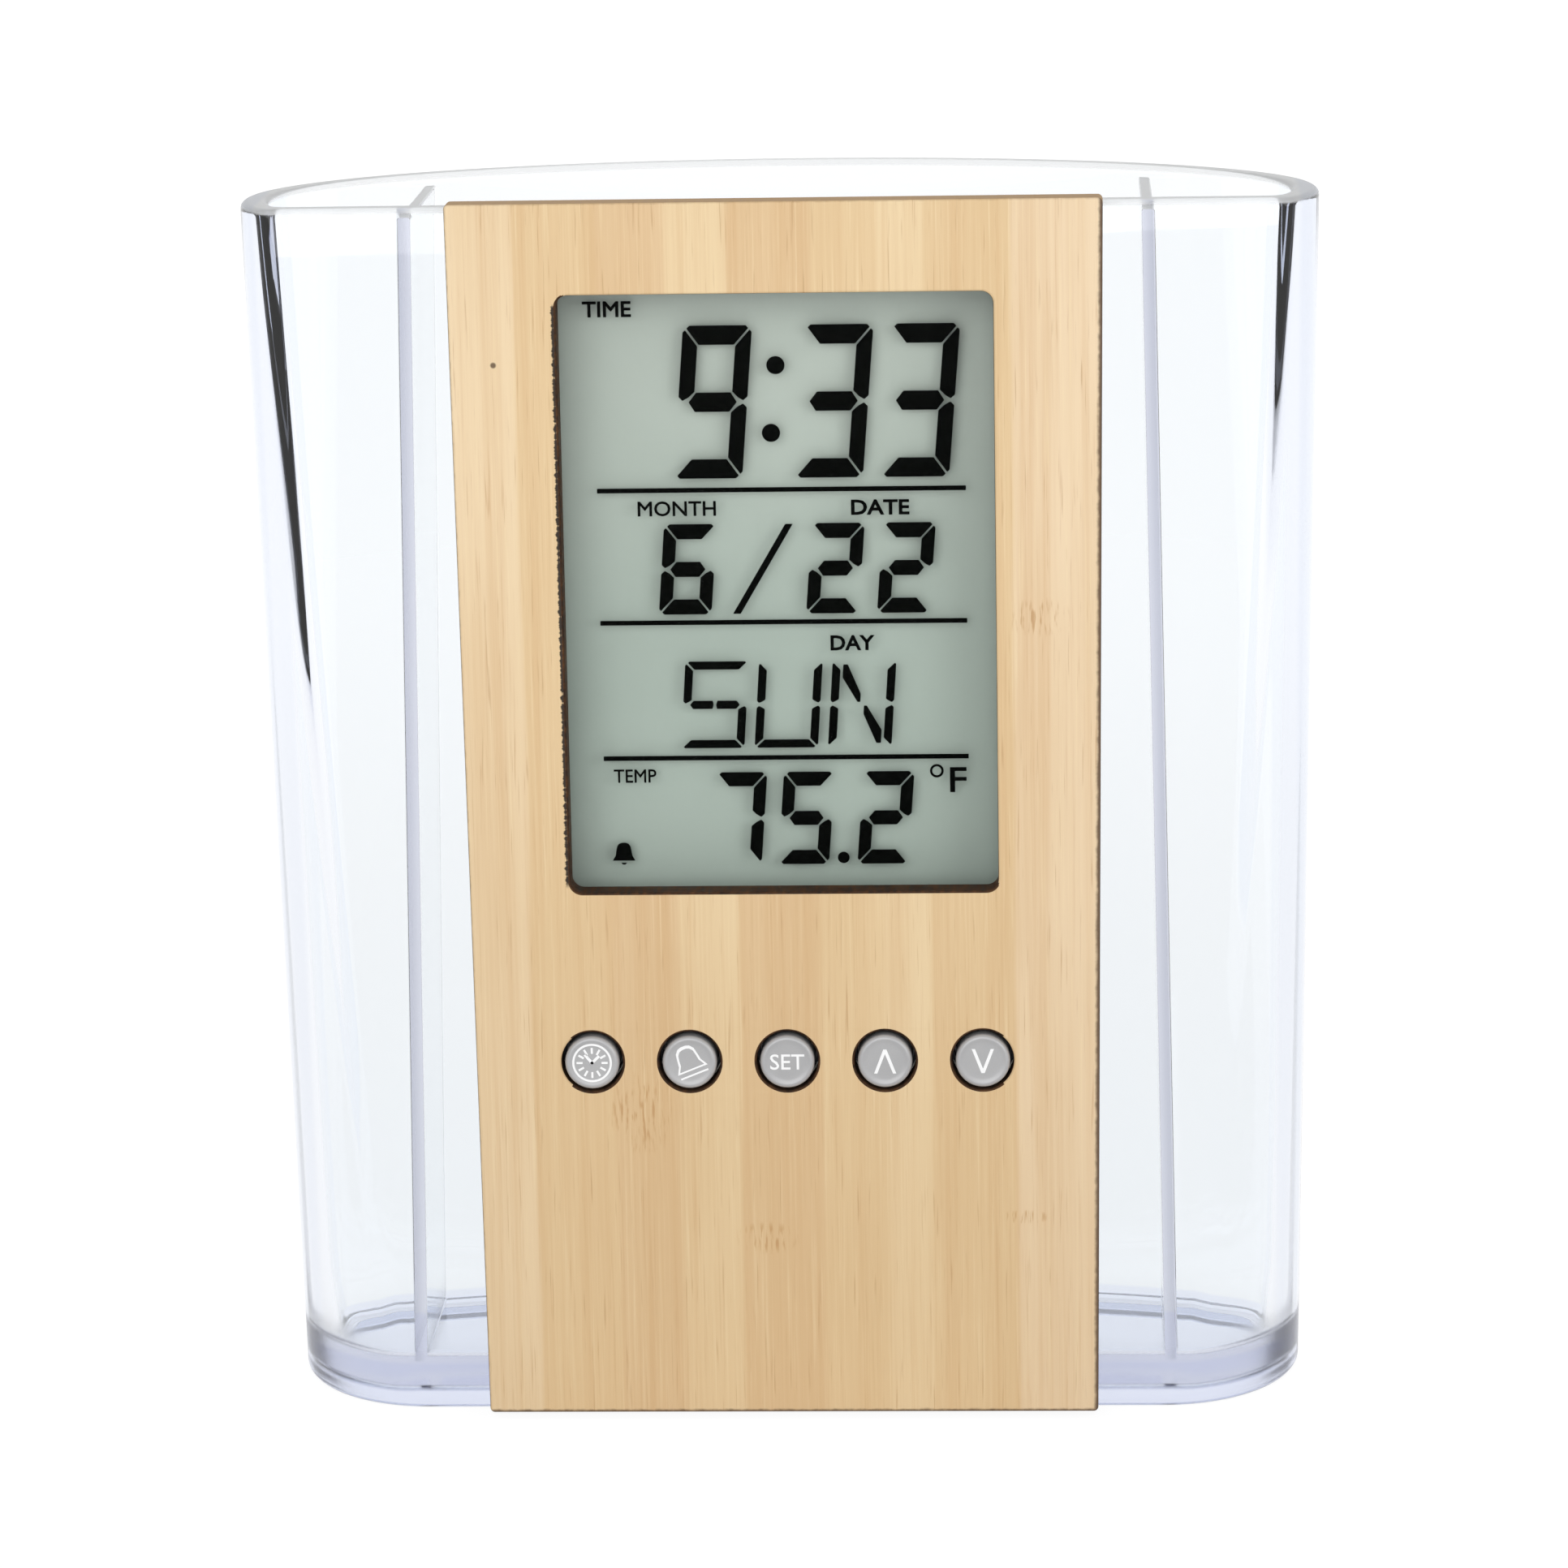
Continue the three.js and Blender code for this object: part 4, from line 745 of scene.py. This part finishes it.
def clear_cup():
    rim_z = CUP_HEIGHT - RIM_RADIUS
    foot = [cup_ring(FOOT_RADIUS - rise, inset) for rise, inset in reversed(edge_steps(FOOT_RADIUS))]
    side = [cup_ring(z, 0.0) for z in cup_heights(FOOT_RADIUS, rim_z)]
    rim = [cup_ring(rim_z + rise, inset) for rise, inset in edge_steps(RIM_RADIUS)]
    outside = loft("cup_outside", foot + side + rim)

    floor_z = FLOOR_TOP_Z + FLOOR_FILLET
    fillet = reversed(edge_steps(FLOOR_FILLET))
    floor = [cup_ring(floor_z - rise, CUP_WALL + inset) for rise, inset in fillet]
    inner = [cup_ring(z, CUP_WALL) for z in cup_heights(floor_z, rim_z)]
    mouth = [cup_ring(rim_z + rise, CUP_WALL - inset) for rise, inset in edge_steps(RIM_RADIUS)]
    above = [cup_ring(CUP_HEIGHT + CUT_MARGIN, CUP_WALL - RIM_RADIUS)]
    hollow = loft("cup_hollow", floor + inner + mouth + above)
    inner_y = CUP_FRONT_Y + CUP_WALL
    for side_sign in (-1, 1):
        levels = [(0.0, [divider_outline(side_sign, DIVIDER_FILLET)])]
        for rise, flare in reversed(edge_steps(DIVIDER_FILLET)):
            y = inner_y - DIVIDER_SINK + DIVIDER_FILLET - rise
            levels.append((y, [divider_outline(side_sign, flare)]))
        levels.append((CUP_FRONT_Y + CUP_DEPTH_RIM + CUT_MARGIN, [divider_outline(side_sign, 0.0)]))
        hollow = carved("cup_hollow", hollow, stacked("cup_divider", levels))

    cup = carved("cup", outside, hollow)
    recess_z = RECESS_DEPTH - FOOT_RADIUS
    recess = [cup_ring(-CUT_MARGIN / 2, RECESS_INSET)]
    recess += [cup_ring(recess_z + rise, RECESS_INSET + inset) for rise, inset in edge_steps(FOOT_RADIUS)]
    cup = carved("cup", cup, loft("cup_recess", recess))
    opening = rounded_box(OPENING_HALF_WIDTH, OPENING_FOOT_Z, OPENING_TOP_Z, OPENING_CORNER)
    inside_y = inner_y + CUT_MARGIN / 2
    cup = carved("cup", cup, prism([opening], (0.0, inside_y)))
    rebate = rounded_box(REBATE_HALF_WIDTH, REBATE_FOOT_Z, REBATE_TOP_Z, OPENING_CORNER)
    cup = carved("cup", cup, prism([rebate], (0.0, REBATE_BACK_Y)))
    add_piece("cup", cup, [CLEAR], replaced=["clear_cup"], crease=28)


clear_cup()


# Bamboo face plate

def key_x(i):
    return (i - (len(KEY_NAMES) - 1) / 2) * KEY_PITCH


def plate_loops(inset):
    """The plate's outline, shrunk by the inset, and its window and key holes, widened by it."""
    loops = [
        tapered_box(PLATE_HALF_FOOT, PLATE_HALF_TOP, PLATE_FOOT_Z, PLATE_TOP_Z, PLATE_CORNER, inset, 8),
        rounded_box(WINDOW_HALF_WIDTH, WINDOW_FOOT_Z, WINDOW_TOP_Z, WINDOW_CORNER, -inset),
    ]
    for i in range(len(KEY_NAMES)):
        loops.append(circle(key_x(i), KEY_ROW_Z, KEY_HOLE_RADIUS + inset, KEY_HOLE_SIDES))
    return loops


def bamboo_plate():
    back_y = PLATE_THICKNESS - PLATE_EDGE
    front = [(PLATE_EDGE - rise, plate_loops(inset)) for rise, inset in reversed(edge_steps(PLATE_EDGE))]
    back = [(back_y + rise, plate_loops(inset)) for rise, inset in edge_steps(PLATE_EDGE)]
    mesh = stacked("bamboo_plate", front + back)
    half = WINDOW_HALF_WIDTH + PLATE_EDGE
    for face in mesh.polygons:
        x, _, z = face.center
        at_window = abs(x) < half and WINDOW_FOOT_Z - 1 < z < WINDOW_TOP_Z + 1
        at_key = abs(x) < half and abs(z - KEY_ROW_Z) < KEY_HOLE_RADIUS + 1
        charred_side = face.normal.x > 0.2 or face.normal.z > 0.2
        on_wall = abs(face.normal.y) < 0.4
        on_arris = (at_key or at_window and charred_side) and abs(face.normal.y) < 0.93
        face.material_index = 1 if on_wall or on_arris else 0
    add_piece(
        "bamboo_plate", mesh, [BAMBOO, SCORCHED], replaced=["bamboo_fascia"], crease=40
    )


bamboo_plate()


# Liquid crystal picture

# Front and back of its ink
SEGMENT_SPAN = (4.712, 4.738)
# Rows of characters: the cell they share, and each character with its left foot
DISPLAY_ROWS = (
    (
        dict(z=80.87, width=5.74, height=12.85, stroke_x=1.3, stroke_z=1.62, gap=0.17, lean=0.082),
        (("9", -8.85), ("3", 1.21), ("3", 8.38)),
    ),
    (
        dict(z=69.34, width=4.42, height=7.68, stroke_x=1.1, stroke_z=1.28, gap=0.15, lean=0.078),
        (("6", -10.33), ("2", 2.02), ("2", 7.95)),
    ),
    (
        dict(z=57.85, width=5.35, height=7.45, stroke_x=0.7, stroke_z=0.7, gap=0.16, lean=0.07),
        (("S", -8.72), ("U", -2.52), ("N", 3.66)),
    ),
    (
        dict(z=47.75, width=4.3, height=8.0, stroke_x=1.05, stroke_z=1.22, gap=0.15, lean=0.078),
        (("7", -6.4), ("5", -0.7), ("2", 6.0)),
    ),
)
SEGMENTS = {
    "2": "abged",
    "3": "abgcd",
    "5": "afgcd",
    "6": "afgedc",
    "7": "abc",
    "9": "abcdfg",
    "S": ("a", "f", "left_bar", "right_bar", "c", "d"),
    "U": "fedcb",
    "N": ("f", "e", "b", "c", "slant_down", "slant_foot"),
}
# Round dots: x, z, radius, sides
DOTS = ((-0.18, 90.35, 0.76, 40), (-0.65, 84.67, 0.76, 40), (4.85, 48.3, 0.5, 32))
DATE_SLASH = ((-4.1, 69.36), (-3.46, 69.36), (1.03, 76.97), (0.39, 76.97))
RULE_HEIGHTS = (79.89, 68.64, 57.0)
RULE_LEFT_X = -15.27
RULE_RIGHT_X = 15.5
RULE_HALF_HEIGHT = 0.2
# Words: text, left, right, foot, height, and how far their strokes are thickened
DISPLAY_WORDS = (
    ("TIME", -16.15, -12.08, 94.5, 1.33, 0.022),
    ("MONTH", -11.91, -5.36, 77.7, 1.28, 0.014),
    ("DATE", 5.91, 10.78, 77.68, 1.3, 0.028),
    ("DAY", 4.02, 7.73, 66.16, 1.3, 0.028),
    ("TEMP", -14.45, -10.85, 54.9, 1.15, 0.01),
    ("F", 13.9, 15.3, 53.9, 2.15, 0.01),
)
# Signs: the degree ring's x, z, radii and sides, the bell's x, z and size, its clapper's x, z and radius
DEGREE_RING = (12.8, 55.75, 0.58, 0.38, 40)
DISPLAY_BELL = (-13.75, 48.75, 1.9)
DISPLAY_CLAPPER = (-13.75, 48.05, 0.26)


def segment(outline):
    return prism([outline], SEGMENT_SPAN)


def flipped(outline, width, height, across, upright):
    """An outline mirrored within its cell."""
    return [(width - u if across else u, height - v if upright else v) for u, v in outline]


def segment_outlines(width, height, stroke_x, stroke_z, gap):
    """Mitred outlines of the segments a to g of one figure, in its own cell."""
    middle = height / 2
    corner = 0.33 * stroke_x
    slope = math.atan2(stroke_z, stroke_x)
    gap_x = gap / 2 / math.sin(slope)
    gap_z = gap / 2 / math.cos(slope)
    share = corner / (stroke_x + stroke_z)
    mitre = (share * stroke_x, height - share * stroke_z)
    top = [
        (stroke_x + gap_x, height - stroke_z),
        (mitre[0] + gap_x, mitre[1]),
        (corner + gap_x, height),
        (width - corner - gap_x, height),
        (width - mitre[0] - gap_x, mitre[1]),
        (width - stroke_x - gap_x, height - stroke_z),
    ]
    upper_left = [
        (0.0, middle + gap + 0.22 * stroke_x),
        (0.26 * stroke_x, middle + gap * 0.8),
        (0.62 * stroke_x, middle + gap * 0.8 + 0.16 * stroke_z),
        (stroke_x, middle + stroke_z / 2 + gap * 0.4),
        (stroke_x, height - stroke_z - gap_z),
        (mitre[0], mitre[1] - gap_z),
        (0.0, height - corner - gap_z),
    ]
    bar = [
        (0.58 * stroke_x + gap_x, middle),
        (stroke_x + gap_x * 1.2, middle + stroke_z / 2),
        (width - stroke_x - gap_x * 1.2, middle + stroke_z / 2),
        (width - 0.58 * stroke_x - gap_x, middle),
        (width - stroke_x - gap_x * 1.2, middle - stroke_z / 2),
        (stroke_x + gap_x * 1.2, middle - stroke_z / 2),
    ]
    return {
        "a": top,
        "b": flipped(upper_left, width, height, True, False),
        "c": flipped(upper_left, width, height, True, True),
        "d": flipped(top, width, height, False, True),
        "e": flipped(upper_left, width, height, False, True),
        "f": upper_left,
        "g": bar,
    }


def letter_outlines(width, height, stroke, gap):
    """Slim outlines that a letter has beside those: a split bar and two slanted strokes."""
    middle = height / 2
    half = stroke / 2
    left_bar = [
        (0.6 * stroke + gap, middle),
        (stroke + gap, middle + half),
        (width / 2 - gap * 1.2, middle + half),
        (width / 2 - gap * 0.6, middle),
        (width / 2 - gap * 1.2, middle - half),
        (stroke + gap, middle - half),
    ]
    slant = [
        (stroke + gap * 1.3, height - stroke * 0.5),
        (stroke + gap * 1.3 + stroke * 0.55, height - stroke * 0.5),
        (width / 2 - gap, middle + stroke * 1.25),
        (width / 2 - gap, middle + gap),
        (width / 2 - gap - stroke * 0.35, middle + gap),
        (stroke + gap * 1.3, height - stroke * 2.1),
    ]
    return {
        "left_bar": left_bar,
        "right_bar": flipped(left_bar, width, height, True, False),
        "slant_down": slant,
        "slant_foot": flipped(slant, width, height, True, True),
    }


def character(name, x, z, width, height, stroke_x, stroke_z, gap, lean):
    """The segments of a figure or letter, moved from its cell to the display and sheared to the right."""
    outlines = segment_outlines(width, height, stroke_x, stroke_z, gap)
    outlines.update(letter_outlines(width, height, stroke_x, gap))
    parts = []
    for key in SEGMENTS[name]:
        parts.append(segment([(x + u + lean * v, z + v) for u, v in outlines[key]]))
    return parts


def word(text, left, right, foot_z, height, weight, span=SEGMENT_SPAN):
    """A short word in capitals, stretched between two x places at a given height."""
    curve = bpy.data.curves.new("word", "FONT")
    curve.body = text
    curve.size = 1.0
    curve.extrude = 0.2
    curve.bevel_depth = weight
    curve.bevel_resolution = 1
    curve.resolution_u = 3
    source = add_object("word", curve)
    mesh = final_mesh(source)
    bpy.data.objects.remove(source)
    low = [min(v.co[axis] for v in mesh.vertices) for axis in range(3)]
    high = [max(v.co[axis] for v in mesh.vertices) for axis in range(3)]
    for vertex in mesh.vertices:
        across, upward, forward = [(vertex.co[i] - low[i]) / (high[i] - low[i]) for i in range(3)]
        vertex.co = (lerp(left, right, across), lerp(span[1], span[0], forward), foot_z + height * upward)
    return mesh


def stroke_line(start, end, width):
    """A straight stroke with square ends, as an outline."""
    first = Vector(start)
    last = Vector(end)
    run = last - first
    side = Vector((-run.y, run.x)).normalized() * (width / 2)
    return [tuple(first - side), tuple(last - side), tuple(last + side), tuple(first + side)]


def ring(x, z, outer, inner, sides, span):
    return prism([circle(x, z, outer, sides), circle(x, z, inner, sides)], span)


def bell_outline(x, z, size):
    """A plain hand bell seen from the side, standing on its mouth."""
    right = [
        (0.08, 0.5), (0.2, 0.46), (0.3, 0.34), (0.34, 0.14), (0.37, -0.08), (0.46, -0.24), (0.5, -0.32),
    ]
    left = [(-u, v) for u, v in reversed(right)]
    return [(x + u * size, z + v * size) for u, v in left + right]


def display_picture():
    parts = []
    for cell, characters in DISPLAY_ROWS:
        for name, x in characters:
            parts += character(name, x, **cell)
    for dot in DOTS:
        parts.append(segment(circle(*dot)))
    parts.append(segment(DATE_SLASH))
    for z in RULE_HEIGHTS:
        rule = stroke_line((RULE_LEFT_X, z), (RULE_RIGHT_X, z), 2 * RULE_HALF_HEIGHT)
        parts.append(segment(rule))
    for row in DISPLAY_WORDS:
        parts.append(word(*row))
    parts.append(ring(*DEGREE_RING, SEGMENT_SPAN))
    parts.append(segment(bell_outline(*DISPLAY_BELL)))
    parts.append(segment(arc(*DISPLAY_CLAPPER, 200, 340, 10)))
    add_piece("display_picture", joined("display_picture", parts), [INK])


display_picture()


# Keys and their printed signs

SIGN_SPAN = (KEY_FACE_Y + KEY_DISH - 0.025, KEY_FACE_Y + KEY_DISH + 0.02)
CLOCK_OUTER = 1.68
CLOCK_INNER = 1.5
CLOCK_SIDES = 64
CLOCK_TICK_START = 0.8
CLOCK_TICK_END = 1.32
CLOCK_TICK_WIDTH = 0.18
CLOCK_HAND_WIDTH = 0.24
CLOCK_HAND_TAIL = 0.12
# Hands of the clock sign: length, and angle from upright in degrees
CLOCK_HANDS = ((0.95, 40), (0.85, -45))
BELL_LEAN = 22
SET_HALF_WIDTH = 1.45
SET_HALF_HEIGHT = 0.68
SET_WEIGHT = 0.006
CHEVRON_REACH = 1.05
CHEVRON_HALF_WIDTH = 0.8
CHEVRON_HALF_STROKE = 0.14


def key_profile():
    dish_y = KEY_FACE_Y + KEY_DISH
    flat = KEY_RADIUS - KEY_EDGE
    face = [(0.0, dish_y)]
    face += [(flat * share, dish_y) for share in (0.3, 0.6, 0.8)]
    face.append((flat * 0.94, KEY_FACE_Y + KEY_DISH * 0.75))
    face.append((flat, KEY_FACE_Y + KEY_DISH * 0.2))
    round_y = KEY_FACE_Y + KEY_EDGE
    edge = [(KEY_RADIUS - inset, round_y - rise) for rise, inset in reversed(edge_steps(KEY_EDGE)[:-1])]
    eased = KEY_FLANGE_RADIUS - KEY_FLANGE_EDGE
    side = [
        (KEY_RADIUS, KEY_FLANGE_FRONT_Y),
        (eased, KEY_FLANGE_FRONT_Y),
        (KEY_FLANGE_RADIUS, KEY_FLANGE_FRONT_Y + KEY_FLANGE_EDGE),
        (KEY_FLANGE_RADIUS, KEY_FLANGE_BACK_Y - KEY_FLANGE_EDGE),
        (eased, KEY_FLANGE_BACK_Y),
        (0.0, KEY_FLANGE_BACK_Y),
    ]
    return face + edge + side


def sign(outline):
    return prism([outline], SIGN_SPAN)


def turned_points(points, x, degrees):
    """Points about a key's middle, turned and put on the key at x."""
    angle = math.radians(degrees)
    cos = math.cos(angle)
    sin = math.sin(angle)
    return [(x + u * cos - v * sin, KEY_ROW_Z + u * sin + v * cos) for u, v in points]


def clock_sign(x):
    """A clock face: a rim, hour ticks and two hands."""
    parts = [ring(x, KEY_ROW_Z, CLOCK_OUTER, CLOCK_INNER, CLOCK_SIDES, SIGN_SPAN)]
    tick = stroke_line((0.0, CLOCK_TICK_START), (0.0, CLOCK_TICK_END), CLOCK_TICK_WIDTH)
    for hour in range(12):
        parts.append(sign(turned_points(tick, x, hour * 30)))
    for length, degrees in CLOCK_HANDS:
        hand = stroke_line((0.0, -CLOCK_HAND_TAIL), (0.0, length), CLOCK_HAND_WIDTH)
        parts.append(sign(turned_points(hand, x, degrees)))
    return parts


def bell_sign(x):
    """A bell in outline, leaning to its left, with the line of its mouth below."""
    outer = turned_points(bell_outline(0.0, 0.15, 2.7), x, BELL_LEAN)
    inner = turned_points(bell_outline(0.0, 0.13, 2.2), x, BELL_LEAN)
    mouth = turned_points(stroke_line((-1.25, -1.12), (1.25, -1.12), 0.15), x, BELL_LEAN)
    return [prism([outer, inner], SIGN_SPAN), sign(mouth)]


def chevron_sign(x, reach):
    """A chevron that points up, or down where its reach is negative."""
    outside = CHEVRON_HALF_WIDTH + CHEVRON_HALF_STROKE
    inside = CHEVRON_HALF_WIDTH - CHEVRON_HALF_STROKE
    outline = [
        (-outside, -reach),
        (-inside, -reach),
        (0.0, reach * 0.62),
        (inside, -reach),
        (outside, -reach),
        (CHEVRON_HALF_STROKE, reach),
        (-CHEVRON_HALF_STROKE, reach),
    ]
    return [sign([(x + u, KEY_ROW_Z + v) for u, v in outline])]


def set_sign(x):
    foot_z = KEY_ROW_Z - SET_HALF_HEIGHT
    left = x - SET_HALF_WIDTH
    right = x + SET_HALF_WIDTH
    return [word("SET", left, right, foot_z, 2 * SET_HALF_HEIGHT, SET_WEIGHT, SIGN_SPAN)]


def key_signs(name, x):
    if name == "mode":
        return clock_sign(x)
    if name == "alarm":
        return bell_sign(x)
    if name == "set":
        return set_sign(x)
    return chevron_sign(x, CHEVRON_REACH if name == "up" else -CHEVRON_REACH)


for i, name in enumerate(KEY_NAMES):
    body = f"key_{name}_body"
    cap = turned(f"cap_{name}", key_profile(), key_x(i), KEY_ROW_Z, KEY_SIDES)
    add_piece(f"cap_{name}", cap, [SILVER], body, [f"key_{name}"], crease=50)
    signs = joined(f"sign_{name}", key_signs(name, key_x(i)))
    add_piece(f"sign_{name}", signs, [WHITE], body)


# Finishes of the solids that stay as they are

NODE_FINISHES = (
    (ADHESIVE, ["fascia_adhesive"]),
    (BLACK, ["clock_frame", "rear_case", "battery_cover"]),
    (BLACK, [f"plunger_{name}" for name in KEY_NAMES]),
    (SWITCH, [f"switch_{name}" for name in KEY_NAMES]),
    (FILM, ["lcd_front_film"]),
    (GLASS, ["lcd_front_glass", "lcd_rear_glass"]),
    (REFLECTOR, ["lcd_reflector"]),
    (RUBBER, ["contact_strip"]),
    (BOARD, ["circuit_board"]),
    (RESIN, ["chip_resin", "temperature_sensor"]),
    (BRASS, ["alarm_disc"]),
    (STEEL, ["quartz_crystal", "coin_cell", "battery_contact_floor", "battery_contact_side"]),
    (STEEL, ["case_screw_1", "case_screw_2"]),
    (STEEL, [f"board_screw_{count}" for count in (1, 2, 3, 4)]),
    (RED_LEAD, ["alarm_lead_1", "battery_lead_1"]),
    (BLACK_LEAD, ["alarm_lead_2", "battery_lead_2"]),
)
EASED_NODES = ("rear_case", "battery_cover", "clock_frame")
EASED_WIDTH = 0.18
for finish, names in NODE_FINISHES:
    for name in names:
        nodes[name].data.materials.clear()
        nodes[name].data.materials.append(finish)
for name in EASED_NODES:
    eased = nodes[name].modifiers.new("eased_edges", "BEVEL")
    eased.width = EASED_WIDTH * MM
    eased.segments = 2
    eased.limit_method = "ANGLE"
    eased.angle_limit = math.radians(40)


# Studio: pale floor, white surroundings, soft lamps, in metres

ROOM_LIGHT = 0.55
PURE_WHITE = (1.0, 1.0, 1.0, 1.0)
FLOOR_HALF = 4.0
FLOOR_Z = -0.00002
FLOOR_PAINT = (0.86, 0.86, 0.87, 1.0)
FLOOR_NEAR = 0.12
FLOOR_FAR = 0.4
FLOOR_SHADOW_SHARE = 0.17
FLOOR_GLOW = 1.12
# Round lamps: name, place, width, power, and whether they are seen in reflections
LAMPS = (
    ("key_lamp", (-0.15, -0.7, 0.24), 0.7, 2.3, True),
    ("fill_lamp", (0.6, -0.65, 0.25), 0.5, 1.6, True),
    ("back_lamp", (0.1, 0.8, 0.6), 0.6, 3.0, False),
)
LAMP_TARGET = (0.0, 0.0, 0.055)

scene = bpy.context.scene
scene.view_settings.view_transform = "Standard"
scene.cycles.max_bounces = 40
scene.cycles.glossy_bounces = 12
scene.cycles.transmission_bounces = 40
scene.cycles.transparent_max_bounces = 20


def seen_share(tree):
    """One for rays that show the surroundings themselves, nought for rays that light a surface."""
    rays = add_node(tree, "ShaderNodeLightPath", {}).outputs
    direct = {0: rays["Is Camera Ray"], 1: rays["Is Glossy Ray"]}
    first = add_node(tree, "ShaderNodeMath", direct, operation="ADD")
    through = {0: first.outputs[0], 1: rays["Is Transmission Ray"]}
    return add_node(tree, "ShaderNodeMath", through, operation="ADD", use_clamp=True).outputs[0]


def mix_shaders(tree, share, first, second):
    return add_node(tree, "ShaderNodeMixShader", {0: share, 1: first.outputs[0], 2: second.outputs[0]})


def build_world():
    world = bpy.data.worlds.new("studio")
    world.use_nodes = True
    tree = world.node_tree
    lighting = tree.nodes["Background"]
    lighting.inputs["Color"].default_value = PURE_WHITE
    lighting.inputs["Strength"].default_value = ROOM_LIGHT
    shown = add_node(tree, "ShaderNodeBackground", {"Color": PURE_WHITE, "Strength": 1.0})
    choice = mix_shaders(tree, seen_share(tree), lighting, shown)
    tree.links.new(choice.outputs[0], tree.nodes["World Output"].inputs["Surface"])
    scene.world = world


def build_floor():
    """A pale floor that shows white, and takes the object's soft shadow near it."""
    corners = [(-1, -1), (1, -1), (1, 1), (-1, 1)]
    points = [(x * FLOOR_HALF, y * FLOOR_HALF, FLOOR_Z) for x, y in corners]
    floor = add_object("floor", new_mesh("floor", points, [(0, 1, 2, 3)]))
    surface = Surface("floor")
    tree = surface.tree
    paint = surface.add("ShaderNodeBsdfDiffuse", {"Color": FLOOR_PAINT})
    glow = surface.add("ShaderNodeEmission", {"Strength": FLOOR_GLOW})
    distance = surface.add("ShaderNodeVectorMath", {0: surface.place}, operation="LENGTH").outputs["Value"]
    unshaded = surface.fade(distance, FLOOR_NEAR, FLOOR_FAR, 1.0 - FLOOR_SHADOW_SHARE, 1.0)
    upper_side = mix_shaders(tree, surface.times(unshaded, seen_share(tree)), paint, glow)

    # The floor is one-sided, so that the object's underside can be seen through it from below.
    underside = surface.add("ShaderNodeNewGeometry", {}).outputs["Backfacing"]
    open_side = surface.add("ShaderNodeBsdfTransparent", {})
    one_sided = mix_shaders(tree, underside, upper_side, open_side)
    tree.nodes.remove(surface.shader)
    tree.links.new(one_sided.outputs[0], surface.output.inputs["Surface"])
    floor.data.materials.append(surface.material)


def add_lamp(name, place, width, power, reflected):
    """A round lamp that lights the object, and isn't itself seen through the clear cup."""
    lamp = bpy.data.lights.new(name, "AREA")
    lamp.shape = "DISK"
    lamp.size = width
    lamp.energy = power
    rig = add_object(name, lamp)
    rig.location = place
    rig.rotation_euler = (Vector(LAMP_TARGET) - Vector(place)).to_track_quat("-Z", "Y").to_euler()
    rig.visible_transmission = False
    rig.visible_glossy = reflected


build_world()
build_floor()
for lamp in LAMPS:
    add_lamp(*lamp)


# Camera at the photograph's place

CAMERA_PLACE = (22.980, -471.248, 164.901)
CAMERA_YAW = -0.0484345
CAMERA_PITCH = 0.2272586
CAMERA_ROLL = 0.0180008
FOCAL_PIXELS = 7150
PHOTO_PIXELS = 1932


def build_camera():
    forward = Vector((
        math.sin(CAMERA_YAW) * math.cos(CAMERA_PITCH),
        math.cos(CAMERA_YAW) * math.cos(CAMERA_PITCH),
        -math.sin(CAMERA_PITCH),
    ))
    level = Vector((math.cos(CAMERA_YAW), -math.sin(CAMERA_YAW), 0.0))
    down = forward.cross(level)
    right = level * math.cos(CAMERA_ROLL) + down * math.sin(CAMERA_ROLL)
    below = down * math.cos(CAMERA_ROLL) - level * math.sin(CAMERA_ROLL)
    camera = bpy.data.cameras.new("camera")
    camera.sensor_width = 36.0
    camera.lens = camera.sensor_width * FOCAL_PIXELS / PHOTO_PIXELS
    camera.clip_start = 0.01
    rig = add_object("camera", camera)
    turn = Matrix((right, -below, -forward)).transposed().to_4x4()
    rig.matrix_world = Matrix.Translation(TO_FRAME @ Vector(CAMERA_PLACE)) @ turn
    scene.camera = rig


build_camera()
